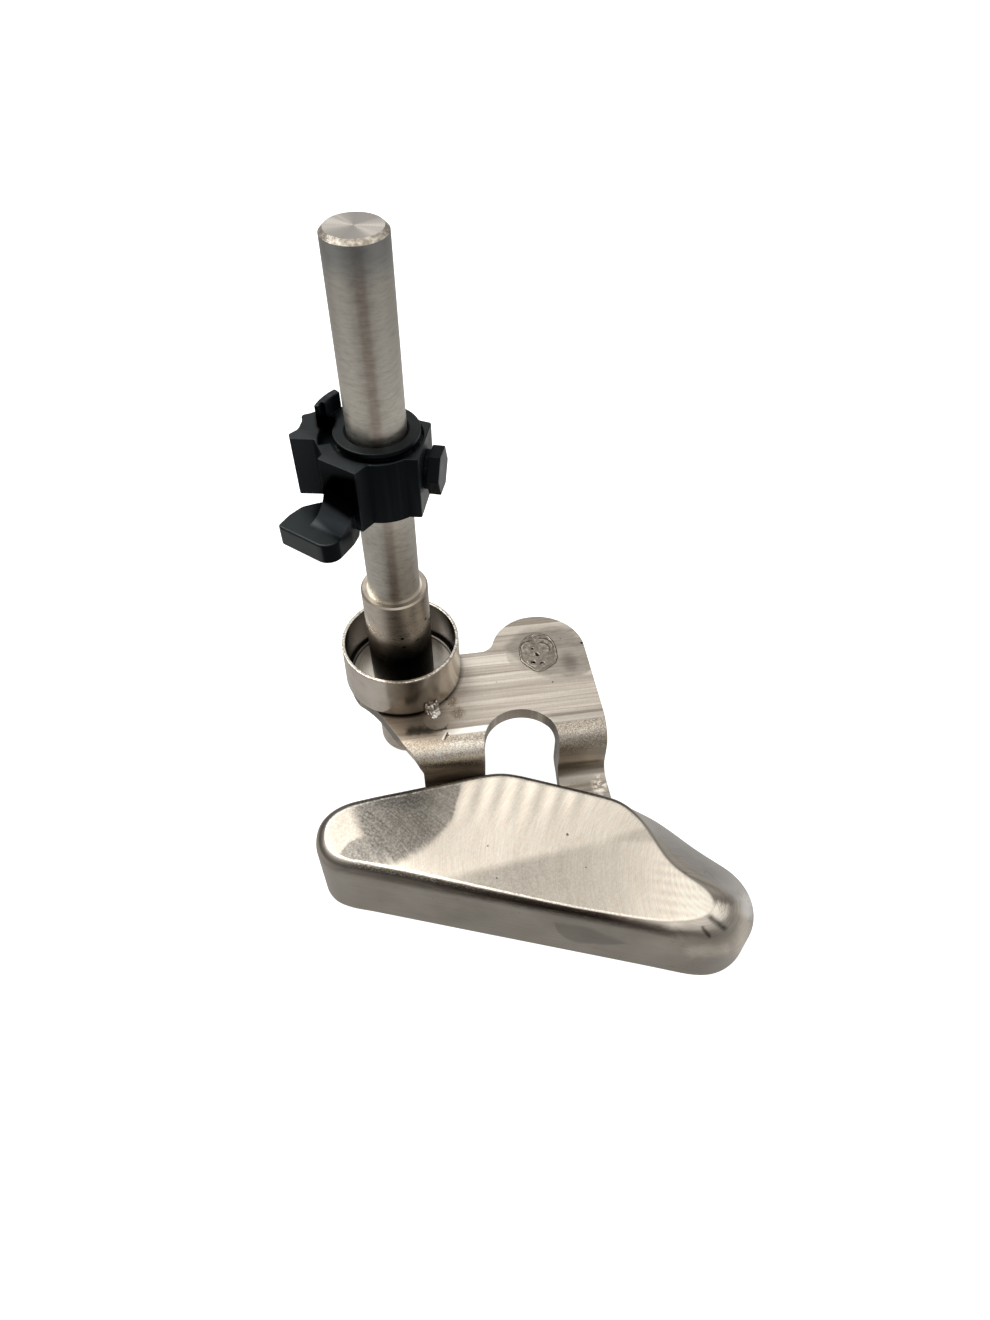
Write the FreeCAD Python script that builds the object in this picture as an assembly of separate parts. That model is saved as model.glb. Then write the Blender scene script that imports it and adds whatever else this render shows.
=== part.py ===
import FreeCAD, Part
import math
import os

# Kicker foot on a cranked arm, with a post and a stop collar running on it.
# Millimetres.  Origin: post axis at the top face of the arm plate.
# +Z runs up the post, +X follows the bend line of the arm towards its pin lobe,
# and the foot lies towards -Y.  Left and right mean -X and +X.

Vector = FreeCAD.Vector
UP = Vector(0, 0, 1)
COS45 = math.sqrt(0.5)
os.makedirs("parts", exist_ok=True)

# ---- dimensions shared by several pieces
SOLE_Z = -34.3           # table plane: foot sole and hub boss end
FOOT_TOP = -7.3          # flat top of the foot
PLATE_T = 4.8            # arm plate thickness
STEP_Z = -21.7           # top face of the arm's lower flange
HUB_R = 10.45            # turned hub, same radius above and below the plate
HUB_WELD_DROP = 3.0      # height of the weld ring under the plate
POST_R = 8.0
POST_BOT = -22.0         # blind seat of the post inside the hub
CUP_R = 19.38            # outer radius at the rim
PIN_X, PIN_Y = 47.6, 1.7
PIN_SEAT_R = 5.5         # seat in the plate
PLUG_DEPTH = 2.0         # weld plug above the pin


# ---- helpers
def cyl(radius, z0, z1, x=0.0, y=0.0):
    return Part.makeCylinder(radius, z1 - z0, Vector(x, y, z0), UP)


def flat(x, y):
    """Place a plan point at z = 0."""
    return Vector(x, y, 0)


def half_plane(radius, z):
    """Place a point of a turned profile."""
    return Vector(radius, 0, z)


def closed_wire(corners, place=flat):
    """Closed wire from (corner, via) pairs.  via is a point on the arc to the
    next corner, or None for a straight edge; place maps both into space."""
    edges = []
    for i, (corner, via) in enumerate(corners):
        start = place(*corner)
        end = place(*corners[(i + 1) % len(corners)][0])
        if via is None:
            edges.append(Part.makeLine(start, end))
        else:
            edges.append(Part.Arc(start, place(*via), end).toShape())
    return Part.Wire(edges)


def arc_mid(centre_a, centre_b, radius_a, radius_b):
    """Middle of a quarter arc; the signs of the radii give its quadrant."""
    return (centre_a + radius_a * COS45, centre_b + radius_b * COS45)


def polar(radius, degrees):
    angle = math.radians(degrees)
    return (radius * math.cos(angle), radius * math.sin(angle))


def slab(wire, z0, height):
    """Upright solid on a wire drawn at z = 0."""
    face = Part.Face(wire)
    face.translate(Vector(0, 0, z0))
    return face.extrude(Vector(0, 0, height))


def outward(solid):
    """Turn an inside-out solid the right way round."""
    if solid.Volume < 0:
        solid.reverse()
    return solid


def revolved(corners):
    """Solid turned about Z from a profile of (radius, z) corners."""
    face = Part.Face(closed_wire(corners, half_plane))
    return outward(face.revolve(Vector(0, 0, 0), UP, 360))


def one(shape):
    """The shape's only (or largest) solid."""
    return max(shape.Solids, key=lambda solid: solid.Volume)


def level_edges(shape, z, min_width=0.0):
    """Flat edges at height z that are wider than min_width along X."""
    return [e for e in shape.Edges
            if abs(e.BoundBox.ZMin - z) < 1e-4 and e.BoundBox.ZLength < 1e-4
            and e.BoundBox.XLength > min_width]


def middle(edge):
    return edge.valueAt(0.5 * (edge.FirstParameter + edge.LastParameter))


def tidy(shape):
    """Merge faces that lie on one surface, where that leaves a good solid."""
    # guards against a merge that the kernel refuses
    try:
        merged = shape.removeSplitter()
        if merged.isValid() and merged.Volume > 0 and len(merged.Solids) == len(shape.Solids):
            return merged
    except Exception:
        pass
    return shape


def save(shape, name, merge=True):
    if merge:
        shape = tidy(shape)
    if len(shape.Solids) == 1:
        shape = shape.Solids[0]
    shape.exportStep("parts/%s.step" % name)


def good_fillet(shape, radius, edges):
    """The filleted solid, or None where the fillet fails."""
    # guards against edges that the kernel cannot round
    try:
        rounded = shape.makeFillet(radius, edges)
        if rounded.isValid() and rounded.Volume > 0 and len(rounded.Solids) == 1:
            return one(rounded)
    except Exception:
        pass
    return None


def soften(shape, radius, pick):
    """Round the picked edges in one go, or one by one where that fails."""
    edges = [e for e in shape.Edges if pick(e)]
    if not edges:
        return shape
    rounded = good_fillet(shape, radius, edges)
    if rounded is not None:
        return rounded
    for edge in edges:
        # find the edge again, since earlier fillets rebuild the solid
        same = [e for e in shape.Edges if abs(e.Length - edge.Length) < 1e-4
                and (middle(e) - middle(edge)).Length < 1e-4]
        if same:
            rounded = good_fillet(shape, radius, [same[0]])
            if rounded is not None:
                shape = rounded
    return shape


# ================================================================= foot block
# Stations around the foot, seen in plan.  Columns: x, y on the edge of the flat
# top; x, y on the wall below it; radius of the edge rounding; angle it turns
# through, degrees; depth below the top where the side has become vertical.
FOOT_STATIONS = [
    (41.8, -90.7, 41.0, -92.75, 2.3, 90, 6.0),
    (26.0, -84.5, 25.0, -86.85, 2.6, 90, 6.0),
    (8.0, -77.2, 6.8, -80.1, 3.1, 90, 6.5),
    (-7.5, -70.9, -8.9, -74.27, 3.6, 90, 7.0),
    (-17.5, -67.3, -18.8, -70.6, 3.6, 90, 7.0),
    (-23.7, -65.0, -25.4, -68.2, 3.7, 90, 7.0),
    (-27.4, -62.2, -30.0, -65.3, 4.0, 90, 7.5),
    (-29.0, -58.8, -32.6, -61.0, 4.2, 90, 7.5),
    (-29.0, -55.3, -33.1, -56.3, 4.3, 90, 7.5),
    (-28.0, -52.2, -31.8, -51.0, 4.1, 90, 7.5),
    (-25.8, -50.0, -28.6, -47.3, 4.0, 90, 7.5),
    (-22.6, -48.4, -23.9, -44.95, 3.7, 90, 7.0),
    (-15.2, -47.0, -15.6, -43.75, 3.2, 90, 6.5),
    (-3.4, -45.9, -3.7, -42.75, 3.1, 90, 6.5),
    (11.5, -44.6, 11.2, -41.55, 3.1, 90, 6.5),
    (20.6, -43.8, 20.4, -40.75, 3.1, 90, 6.5),
    (24.6, -43.6, 24.9, -40.5, 3.1, 90, 6.5),
    (28.0, -43.9, 29.2, -40.95, 3.1, 90, 6.5),
    (31.5, -45.0, 32.8, -42.15, 3.1, 90, 6.5),
    (37.1, -47.4, 38.4, -44.6, 3.1, 90, 6.5),
    (45.4, -51.2, 46.7, -48.4, 3.1, 90, 6.5),
    (53.5, -54.9, 54.8, -52.1, 3.1, 90, 6.5),
    (58.6, -57.3, 60.2, -54.55, 3.1, 88, 6.5),
    (61.8, -59.1, 64.2, -56.0, 3.0, 80, 7.2),
    (64.1, -61.2, 68.0, -57.5, 2.8, 68, 8.6),
    (65.9, -63.7, 72.1, -59.4, 2.7, 57, 10.4),
    (67.5, -66.7, 76.2, -61.8, 2.6, 50, 12.2),
    (68.7, -70.0, 80.0, -64.9, 2.6, 45, 13.8),
    (69.7, -73.5, 83.4, -68.2, 2.6, 42, 15.0),
    (70.8, -77.3, 86.6, -71.5, 2.6, 40, 15.8),
    (72.2, -81.0, 89.6, -74.7, 2.8, 38, 16.0),
    (74.1, -84.3, 92.6, -77.9, 3.4, 35, 16.0),
    (76.3, -87.2, 95.4, -81.1, 5.0, 32, 16.0),
    (78.4, -90.0, 97.7, -85.3, 9.0, 30, 16.0),
    (80.0, -92.6, 98.7, -90.2, 14.0, 30, 16.0),
    (80.5, -94.8, 98.2, -95.1, 15.0, 30, 16.0),
    (80.2, -96.5, 96.2, -99.5, 14.0, 30, 15.5),
    (79.0, -97.7, 92.7, -103.3, 12.5, 31, 15.0),
    (77.4, -98.4, 88.0, -106.0, 11.0, 33, 14.0),
    (75.4, -98.8, 82.8, -107.0, 9.2, 37, 13.0),
    (72.8, -98.9, 77.5, -106.25, 7.2, 46, 11.5),
    (70.0, -98.8, 72.4, -104.5, 5.4, 62, 9.8),
    (66.8, -98.5, 67.5, -102.6, 4.2, 80, 8.4),
    (62.5, -97.5, 62.0, -100.55, 3.2, 88, 7.2),
    (57.0, -95.9, 56.2, -98.38, 2.7, 90, 6.5),
    (49.5, -93.4, 48.7, -95.6, 2.4, 90, 6.0),
]
FOOT_SECTIONS = 168      # sections sampled around the foot


def closed_samples(stations, count):
    """Evenly spaced samples of a closed smooth (cubic Hermite) curve through
    the stations, every column interpolated alike."""
    total_stations = len(stations)
    columns = range(len(stations[0]))
    spans = []
    for i in range(total_stations):
        here, after = stations[i], stations[(i + 1) % total_stations]
        top_step = math.hypot(after[0] - here[0], after[1] - here[1])
        wall_step = math.hypot(after[2] - here[2], after[3] - here[3])
        spans.append(0.5 * (top_step + wall_step))
    ends = [0.0]
    for span in spans:
        ends.append(ends[-1] + span)
    slopes = []
    for i in range(total_stations):
        span0, span1 = spans[i - 1], spans[i]
        before, here, after = stations[i - 1], stations[i], stations[(i + 1) % total_stations]
        slopes.append([((here[k] - before[k]) / span0 * span1
                        + (after[k] - here[k]) / span1 * span0) / (span0 + span1)
                       for k in columns])
    samples = []
    j = 0
    for i in range(count):
        distance = ends[-1] * i / count
        while distance > ends[j + 1]:
            j += 1
        span = spans[j]
        t = (distance - ends[j]) / span
        start, end = stations[j], stations[(j + 1) % total_stations]
        slope0, slope1 = slopes[j], slopes[(j + 1) % total_stations]
        start_weight = 2 * t ** 3 - 3 * t ** 2 + 1
        slope0_weight = (t ** 3 - 2 * t ** 2 + t) * span
        end_weight = -2 * t ** 3 + 3 * t ** 2
        slope1_weight = (t ** 3 - t ** 2) * span
        samples.append([start_weight * start[k] + slope0_weight * slope0[k]
                        + end_weight * end[k] + slope1_weight * slope1[k] for k in columns])
    return samples


def foot_section(station):
    """Ten control points down one section of the foot's side: edge rounding,
    flank that turns to vertical, straight wall to the sole."""
    top_x, top_y, wall_x, wall_y, radius, turned, depth = station
    reach = math.hypot(wall_x - top_x, wall_y - top_y)
    out_x, out_y = (wall_x - top_x) / reach, (wall_y - top_y) / reach
    turned = math.radians(min(turned, 90.0))
    cos_t, sin_t = math.cos(turned), math.sin(turned)
    run = min(radius * sin_t, reach)
    radius = run / sin_t
    drop = radius * (1 - cos_t)
    handle = 4.0 / 3.0 * math.tan(turned / 4.0) * radius

    depth = max(depth, drop + 1.5)
    rest_out = reach - run
    span = math.hypot(rest_out, depth - drop)
    turn = math.pi / 2 - turned
    if turn > 0.05:
        low_handle = 4.0 / 3.0 * math.tan(turn / 4.0) / (2.0 * math.sin(turn / 2.0)) * span
    else:
        low_handle = span / 3.0
    high_handle = low_handle
    if rest_out > 0.05:
        high_handle = min(low_handle, 0.9 * rest_out / max(cos_t, 1e-3))
    height = FOOT_TOP - SOLE_Z
    profile = [
        (0.0, 0.0),
        (handle, 0.0),
        (run - handle * cos_t, -drop + handle * sin_t),
        (run, -drop),
        (run + high_handle * cos_t, -drop - high_handle * sin_t),
        (reach, -depth + low_handle),
        (reach, -depth),
        (reach, -depth + (depth - height) / 3.0),
        (reach, -depth + (depth - height) * 2 / 3.0),
        (reach, -height),
    ]
    return [Vector(top_x + out_x * out, top_y + out_y * out, FOOT_TOP + z) for out, z in profile]


def make_foot():
    rows = [foot_section(s) for s in closed_samples(FOOT_STATIONS, FOOT_SECTIONS)]
    surface = Part.BSplineSurface()
    surface.buildFromPolesMultsKnots(
        rows, [1] * (FOOT_SECTIONS + 1), [4, 3, 3, 4],
        [float(i) for i in range(FOOT_SECTIONS + 1)], [0.0, 1.0, 2.0, 3.0],
        True, False, 3, 3)
    side = surface.toShape()
    level = [e for e in side.Edges if e.BoundBox.ZLength < 1e-3]
    top = Part.Face(Part.Wire([e for e in level if abs(e.BoundBox.ZMin - FOOT_TOP) < 1e-4]))
    sole = Part.Face(Part.Wire([e for e in level if abs(e.BoundBox.ZMax - SOLE_Z) < 1e-4]))
    shell = Part.Shell([side, top, sole])
    shell.sewShape()
    foot = outward(Part.Solid(shell))
    foot.fix(1e-4, 1e-5, 1e-3)
    return foot


# ================================================================ cranked arm
BEND_Y = -27.4           # the convex bend starts here
BEND_R = 8.7             # its outer radius
CONCAVE_R = 5.0          # radius of the concave bend
HUB_LOBE_R = 18.7
BACK_EDGE_Y = 4.6
LOBE_X, LOBE_Y, LOBE_R = 48.0, 2.3, 16.6
LOBE_FILLET = 5.0        # between the back edge and the pin lobe
LEG_LEFT_X = 2.8         # left edge of the left leg
ARM_FRONT_Y = -74.0      # legs run on to here before the foot is cut out
ARCH_X0, ARCH_X1, ARCH_Y = 23.3, 48.3, -35.0   # round-ended gap between the legs
# Left edge from the hub lobe to the left leg, (x, y)
LEFT_EDGE = [
    polar(HUB_LOBE_R, 211.5), (-11.9, -14.2), (-8.9, -18.9), (-6.6, -23.5), (-4.3, -28.0),
    (-1.9, -32.0), (1.0, -35.0), (2.4, -37.6), (LEG_LEFT_X, -41.0),
]
# Material taken off left of the riser, seen along Y, (x, z)
RISER_TRIM = [
    (-30, 1), (-4.6, 1), (-4.2, -0.6), (-2.4, -2.8), (0.3, -5.8), (1.9, -8.4), (2.7, -11.0),
    (LEG_LEFT_X, -14.0), (LEG_LEFT_X, -45), (-30, -45),
]
TRIM_Y0, TRIM_Y1 = -70, -28.6


def bent_bar():
    """Wide strip with the arm's cranked profile, extruded along X."""
    bend_z = -BEND_R
    riser_y = BEND_Y - BEND_R
    concave_y, concave_z = riser_y - CONCAVE_R, STEP_Z + CONCAVE_R
    inner_r, lower_r = BEND_R - PLATE_T, CONCAVE_R + PLATE_T
    back_y, front_y = 24, ARM_FRONT_Y - 1
    profile = [
        ((back_y, 0), None),
        ((BEND_Y, 0), arc_mid(BEND_Y, bend_z, -BEND_R, BEND_R)),
        ((riser_y, bend_z), None),
        ((riser_y, concave_z), arc_mid(concave_y, concave_z, CONCAVE_R, -CONCAVE_R)),
        ((concave_y, STEP_Z), None),
        ((front_y, STEP_Z), None),
        ((front_y, STEP_Z - PLATE_T), None),
        ((concave_y, STEP_Z - PLATE_T), arc_mid(concave_y, concave_z, lower_r, -lower_r)),
        ((riser_y + PLATE_T, concave_z), None),
        ((riser_y + PLATE_T, bend_z), arc_mid(BEND_Y, bend_z, -inner_r, inner_r)),
        ((BEND_Y, -PLATE_T), None),
        ((back_y, -PLATE_T), None),
    ]
    wire = closed_wire(profile, lambda y, z: Vector(-40.0, y, z))
    return Part.Face(wire).extrude(Vector(120, 0, 0))


def arm_plan():
    """Upright block with the plan outline of the arm."""
    def place(point):
        return Vector(point[0], point[1], -60)

    def line(start, end):
        return Part.makeLine(place(start), place(end))

    def arc(start, via, end):
        return Part.Arc(place(start), place(via), place(end)).toShape()

    fillet_y = BACK_EDGE_Y + LOBE_FILLET
    fillet_x = LOBE_X - math.sqrt((LOBE_R + LOBE_FILLET) ** 2 - (LOBE_Y - fillet_y) ** 2)
    share = LOBE_FILLET / (LOBE_R + LOBE_FILLET)
    tangent = (fillet_x + share * (LOBE_X - fillet_x), fillet_y + share * (LOBE_Y - fillet_y))
    via_x, via_y = polar(LOBE_FILLET, -62)
    right_x = LOBE_X + LOBE_R
    hub_end = (math.sqrt(HUB_LOBE_R ** 2 - BACK_EDGE_Y ** 2), BACK_EDGE_Y)
    hub_via = (-6.0, math.sqrt(HUB_LOBE_R ** 2 - 36))
    left_edge = Part.BSplineCurve()
    left_edge.interpolate([place(p) for p in LEFT_EDGE])
    edges = [
        arc(hub_end, hub_via, LEFT_EDGE[0]),
        left_edge.toShape(),
        line(LEFT_EDGE[-1], (LEG_LEFT_X, ARM_FRONT_Y)),
        line((LEG_LEFT_X, ARM_FRONT_Y), (right_x, ARM_FRONT_Y)),
        line((right_x, ARM_FRONT_Y), (right_x, LOBE_Y)),
        arc((right_x, LOBE_Y), (LOBE_X, LOBE_Y + LOBE_R), tangent),
        arc(tangent, (fillet_x + via_x, fillet_y + via_y), (fillet_x, BACK_EDGE_Y)),
        line((fillet_x, BACK_EDGE_Y), hub_end),
    ]
    return Part.Face(Part.Wire(Part.__sortEdges__(edges))).extrude(Vector(0, 0, 80))


def make_arm(foot):
    arm = bent_bar().common(arm_plan())
    arch_width = ARCH_X1 - ARCH_X0
    arch = cyl(0.5 * arch_width, -60, 10, 0.5 * (ARCH_X0 + ARCH_X1), ARCH_Y)
    arch = arch.fuse(Part.makeBox(arch_width, 60, 70, Vector(ARCH_X0, ARCH_Y - 60, -60)))
    arm = arm.cut(arch)
    # the blank was cut before bending, so the left edge of the riser is square
    # through the thickness and runs out to the leg's width round the bend
    trim = Part.makePolygon([Vector(x, TRIM_Y0, z) for x, z in RISER_TRIM + RISER_TRIM[:1]])
    arm = arm.cut(Part.Face(trim).extrude(Vector(0, TRIM_Y1 - TRIM_Y0, 0)))
    arm = arm.cut(cyl(HUB_R, -20, 10))
    arm = arm.cut(cyl(PIN_SEAT_R, -20, 10, PIN_X, PIN_Y))
    return one(arm.cut(foot))


# =============================================================== hub and post
HUB_TOP = 41.4
RELIEF_DEPTH = 0.6       # groove under the weld ring
RELIEF_WIDTH = 1.3
POST_TOP = 150.4


def make_hub():
    hub = cyl(HUB_R, SOLE_Z, HUB_TOP)
    hub = hub.cut(cyl(POST_R, POST_BOT, HUB_TOP + 1))
    relief_top = -PLATE_T - HUB_WELD_DROP
    relief = cyl(HUB_R + 1, relief_top - RELIEF_WIDTH, relief_top)
    hub = hub.cut(relief.cut(cyl(HUB_R - RELIEF_DEPTH, -PLATE_T - 5, 0)))
    outer_width = 2 * HUB_R - 0.5        # only the outer rims are this wide
    hub = hub.makeChamfer(0.5, level_edges(hub, HUB_TOP, outer_width))
    return hub.makeFillet(1.2, level_edges(hub, SOLE_Z, outer_width))


def make_post():
    post = cyl(POST_R, POST_BOT, POST_TOP)
    post = post.makeChamfer(1.1, level_edges(post, POST_TOP))
    return post.makeChamfer(0.8, level_edges(post, POST_BOT))


# ==================================================================== drip cup
CUP_T = 1.1              # sheet thickness
CUP_TAPER = 0.35         # the wall leans out towards the base
CUP_RIM = 16.9           # rim height
CUP_CORNER_OUT = 1.0
CUP_CORNER_IN = 1.3
RIM_ROUND = 0.25


def make_cup():
    inner_r = CUP_R - CUP_T
    base_out, base_in = CUP_R + CUP_TAPER, inner_r + CUP_TAPER
    outer_c, outer_z = base_out - CUP_CORNER_OUT, CUP_CORNER_OUT
    inner_c, inner_z = base_in - CUP_CORNER_IN, CUP_T + CUP_CORNER_IN
    rim_out, rim_in, rim_z = CUP_R - RIM_ROUND, inner_r + RIM_ROUND, CUP_RIM - RIM_ROUND
    return revolved([
        ((HUB_R, 0), None),
        ((outer_c, 0), arc_mid(outer_c, outer_z, CUP_CORNER_OUT, -CUP_CORNER_OUT)),
        ((base_out, outer_z), None),
        ((CUP_R, rim_z), arc_mid(rim_out, rim_z, RIM_ROUND, RIM_ROUND)),
        ((rim_out, CUP_RIM), None),
        ((rim_in, CUP_RIM), arc_mid(rim_in, rim_z, -RIM_ROUND, RIM_ROUND)),
        ((inner_r, rim_z), None),
        ((base_in, inner_z), arc_mid(inner_c, inner_z, CUP_CORNER_IN, -CUP_CORNER_IN)),
        ((inner_c, CUP_T), None),
        ((HUB_R, CUP_T), None),
    ])


# ============================================================ welds at the hub
TACK_AZ = -68.3          # direction of the tack, degrees from +X
# Overlapping puddles: distance outside the cup radius, turn from TACK_AZ in
# radians, height, then the radii of the ellipsoid: radial, sideways, upwards
TACK_PUDDLES = [
    (1.9, 0.0, 0.4, 3.0, 2.9, 2.8),
    (2.9, 0.045, 0.1, 2.1, 2.2, 1.4),
    (0.7, -0.05, 1.9, 1.2, 1.6, 1.9),
]


def make_tack_weld(cup):
    """Tack between the cup wall and the plate."""
    puddles = []
    for offset, turn, z, radial, sideways, upwards in TACK_PUDDLES:
        scaling = FreeCAD.Matrix()
        scaling.scale(radial, sideways, upwards)
        puddle = Part.makeSphere(1.0).transformGeometry(scaling)
        puddle.rotate(Vector(0, 0, 0), UP, TACK_AZ)
        angle = math.radians(TACK_AZ) + turn
        distance = CUP_R + offset
        puddle.translate(Vector(distance * math.cos(angle), distance * math.sin(angle), z))
        puddles.append(puddle)
    tack = puddles[0].fuse(puddles[1])
    tack = tack.fuse(puddles[2])
    tack = tack.cut(Part.makeBox(80, 80, 20, Vector(-40, -40, -20)))
    # the cup's wall and everything inside it is left out of the weld
    return one(tack.cut(cup.fuse(cyl(CUP_R - 0.6, 0.05, 20))))


def make_hub_weld():
    """Ring of weld under the plate around the hub."""
    return revolved([
        ((HUB_R, -PLATE_T), None),
        ((HUB_R + 3.2, -PLATE_T), (HUB_R + 1.85, -PLATE_T - 1.75)),
        ((HUB_R, -PLATE_T - HUB_WELD_DROP), None),
    ])


# ============================================================ lobe pin + weld
PIN_R = 6.0              # free end below the plate
PIN_BOT = -16.8
# Low domes of the weld plug: angle and distance from the pin axis, base
# radius, height
PLUG_DOMES = [
    (100, 4.6, 3.9, 0.55), (150, 3.7, 3.6, 0.50), (205, 3.6, 3.5, 0.52), (262, 4.4, 4.1, 0.58),
    (318, 3.7, 3.5, 0.48), (20, 3.6, 3.6, 0.54), (60, 4.2, 3.8, 0.46), (0, 0.4, 4.4, 0.62),
]
# Small conical pits in the plug, (x, y) from the pin axis
PLUG_PITS = [(-0.9, 0.2), (1.0, -1.5), (-1.6, -2.4), (0.4, -3.7)]


def make_pin():
    pin = cyl(PIN_R, PIN_BOT, -PLATE_T, PIN_X, PIN_Y)
    pin = pin.fuse(cyl(PIN_SEAT_R, -PLATE_T - 0.5, -PLUG_DEPTH, PIN_X, PIN_Y))
    return pin.makeChamfer(0.8, level_edges(pin, PIN_BOT))


def dome(x, y, base_r, height):
    """Spherical cap standing on the plate."""
    radius = (base_r * base_r + height * height) / (2 * height)
    side = 2 * radius + 2
    ball = Part.makeSphere(radius, Vector(x, y, height - radius))
    return ball.cut(Part.makeBox(side, side, side, Vector(x - radius - 1, y - radius - 1, -side)))


def make_plug_weld():
    plug = cyl(PIN_SEAT_R, -PLUG_DEPTH, 0.0, PIN_X, PIN_Y)
    for degrees, distance, base_r, height in PLUG_DOMES:
        x, y = polar(distance, degrees)
        plug = plug.fuse(dome(PIN_X + x, PIN_Y + y, base_r, height))
    for x, y in PLUG_PITS:
        plug = plug.cut(Part.makeCone(0.05, 0.5, 0.9, Vector(PIN_X + x, PIN_Y + y, -0.25), UP))
    return one(plug)


# ====================================================== welds of arm to foot
WELD_LEG = 3.4           # leg length of the bead
WELD_BULGE = 0.60        # middle of its face, as a share of the leg
WELD_ROOT = 1.4          # how far it starts inside the foot, before the cut


def make_leg_weld(start_xy, end_xy, foot, arm):
    """Convex bead under the lower flange, along the foot's +Y wall."""
    start = Vector(start_xy[0], start_xy[1], STEP_Z - PLATE_T)
    end = Vector(end_xy[0], end_xy[1], STEP_Z - PLATE_T)
    along = end - start
    along.normalize()
    away = Vector(-along.y, along.x, 0)      # away from the foot, since start is left of end
    bulge = WELD_LEG * WELD_BULGE
    section = [
        ((-WELD_ROOT, 0), None),
        ((WELD_LEG, 0), (bulge, -bulge)),
        ((0, -WELD_LEG), None),
        ((-WELD_ROOT, -WELD_LEG), None),
    ]
    wire = closed_wire(section, lambda out, z: start + away * out + Vector(0, 0, z))
    bead = Part.Face(wire).extrude(end - start)
    return one(bead.cut(foot).cut(arm))


# ================================================= stop collar: bush and rings
CLAMP_TOP, CLAMP_BOT = 96.5, 77.6
BUSH_IN = 8.05           # split bush, running on the post
BUSH_OUT = 9.3
BUSH_BOT = CLAMP_BOT - 1.9
FLANGE_R = 11.6
FLANGE_TOP = 98.7
FLANGE_UNDER = FLANGE_TOP - 1.3
RING_Z0, RING_Z1 = CLAMP_BOT - 1.35, CLAMP_BOT - 0.55   # retaining ring groove
SLIT_AZ = 68             # bush slit and ring gap, degrees from +X
GROOVE_R = 12.35         # counterbore around the bush under its flange
GROOVE_Z = 93.6
WASHER_IN, WASHER_OUT = BUSH_OUT + 0.2, 11.2
WASHER_T = 0.4
WAVE_HEIGHT, WAVES = 1.05, 3
WAVE_POINTS = 72
CUT_Z0, CUT_Z1 = 60, 120 # bores run right through the collar


def radial_slot(width, height):
    """Box from the axis outwards along SLIT_AZ."""
    slot = Part.makeBox(14, width, height, Vector(0, -width / 2, 70))
    slot.rotate(Vector(0, 0, 0), UP, SLIT_AZ)
    return slot


def make_bush():
    bush = cyl(BUSH_OUT, BUSH_BOT, FLANGE_UNDER)
    bush = bush.fuse(cyl(FLANGE_R, FLANGE_UNDER, FLANGE_TOP))
    bush = bush.cut(cyl(BUSH_IN, CUT_Z0, CUT_Z1))
    top_lead, bottom_lead = 0.7, 0.6
    bush = bush.cut(Part.makeCone(BUSH_IN, BUSH_IN + top_lead, top_lead,
                                  Vector(0, 0, FLANGE_TOP - top_lead), UP))
    bush = bush.cut(Part.makeCone(BUSH_IN + bottom_lead, BUSH_IN, bottom_lead,
                                  Vector(0, 0, BUSH_BOT), UP))
    ring_groove = cyl(BUSH_OUT + 1, RING_Z0, RING_Z1)
    bush = bush.cut(ring_groove.cut(cyl(BUSH_OUT - 0.55, RING_Z0, RING_Z1)))
    bush = bush.cut(radial_slot(1.3, 40))

    def top_rim(edge):
        box = edge.BoundBox
        return (box.ZLength < 1e-4 and box.ZMin > FLANGE_TOP - 0.01
                and abs(max(abs(box.XMax), abs(box.XMin)) - FLANGE_R) < 0.05)

    return soften(bush, 0.3, top_rim)


def wave(radius, z):
    """Closed wire at one radius that waves up and down about z."""
    points = []
    for i in range(WAVE_POINTS):
        angle = 2 * math.pi * i / WAVE_POINTS
        points.append(Vector(radius * math.cos(angle), radius * math.sin(angle),
                             z + WAVE_HEIGHT * math.sin(WAVES * angle)))
    curve = Part.BSplineCurve()
    curve.interpolate(Points=points, PeriodicFlag=True)
    return Part.Wire([curve.toShape()])


def make_washer():
    """Spring washer between the flange and the collar body."""
    z = 0.5 * (GROOVE_Z + FLANGE_UNDER) - WASHER_T / 2
    surface = Part.makeRuledSurface(wave(WASHER_IN, z), wave(WASHER_OUT, z))
    return outward(surface.extrude(Vector(0, 0, WASHER_T)).Solids[0])


def make_retaining_ring():
    """Open ring in the groove at the bush's lower end."""
    ring = cyl(BUSH_OUT + 1.2, RING_Z0 + 0.05, RING_Z1 - 0.05)
    ring = ring.cut(cyl(BUSH_OUT - 0.5, RING_Z0 - 1, RING_Z1 + 1))
    return ring.cut(radial_slot(5.0, 10))


# ========================================================== clamp screw layout
# Distances along the screw are measured from the post axis.
SCREW_AZ = -17.9         # direction of the clamp screw, degrees from +X
SCREW_R = 3.0            # M6
SCREW_HOLE_R = SCREW_R + 0.05
SCREW_FLAT = 12.9        # flat on the body around the screw
HEX_START, HEX_END = 14.0, 17.4
HEX_AF = 11.4            # across flats
INSERT_R = 4.4
INSERT_START = 10.3
PAD_START, PAD_END = 7, 10.6
SCREW_DIR = Vector(*polar(1, SCREW_AZ), 0)
SCREW_SIDE = Vector(-SCREW_DIR.y, SCREW_DIR.x, 0)
SCREW_ORIGIN = Vector(0, 0, 87.3)


def screw_cyl(radius, start, length):
    """Cylinder on the screw's axis."""
    return Part.makeCylinder(radius, length, SCREW_ORIGIN + SCREW_DIR * start, SCREW_DIR)


def flat_corner(sideways):
    point = SCREW_DIR * SCREW_FLAT + SCREW_SIDE * sideways
    return (point.x, point.y)


# ================================================================= clamp body
FRONT_R, NECK_R, BACK_R = 13.15, 13.3, 17.0
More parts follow.
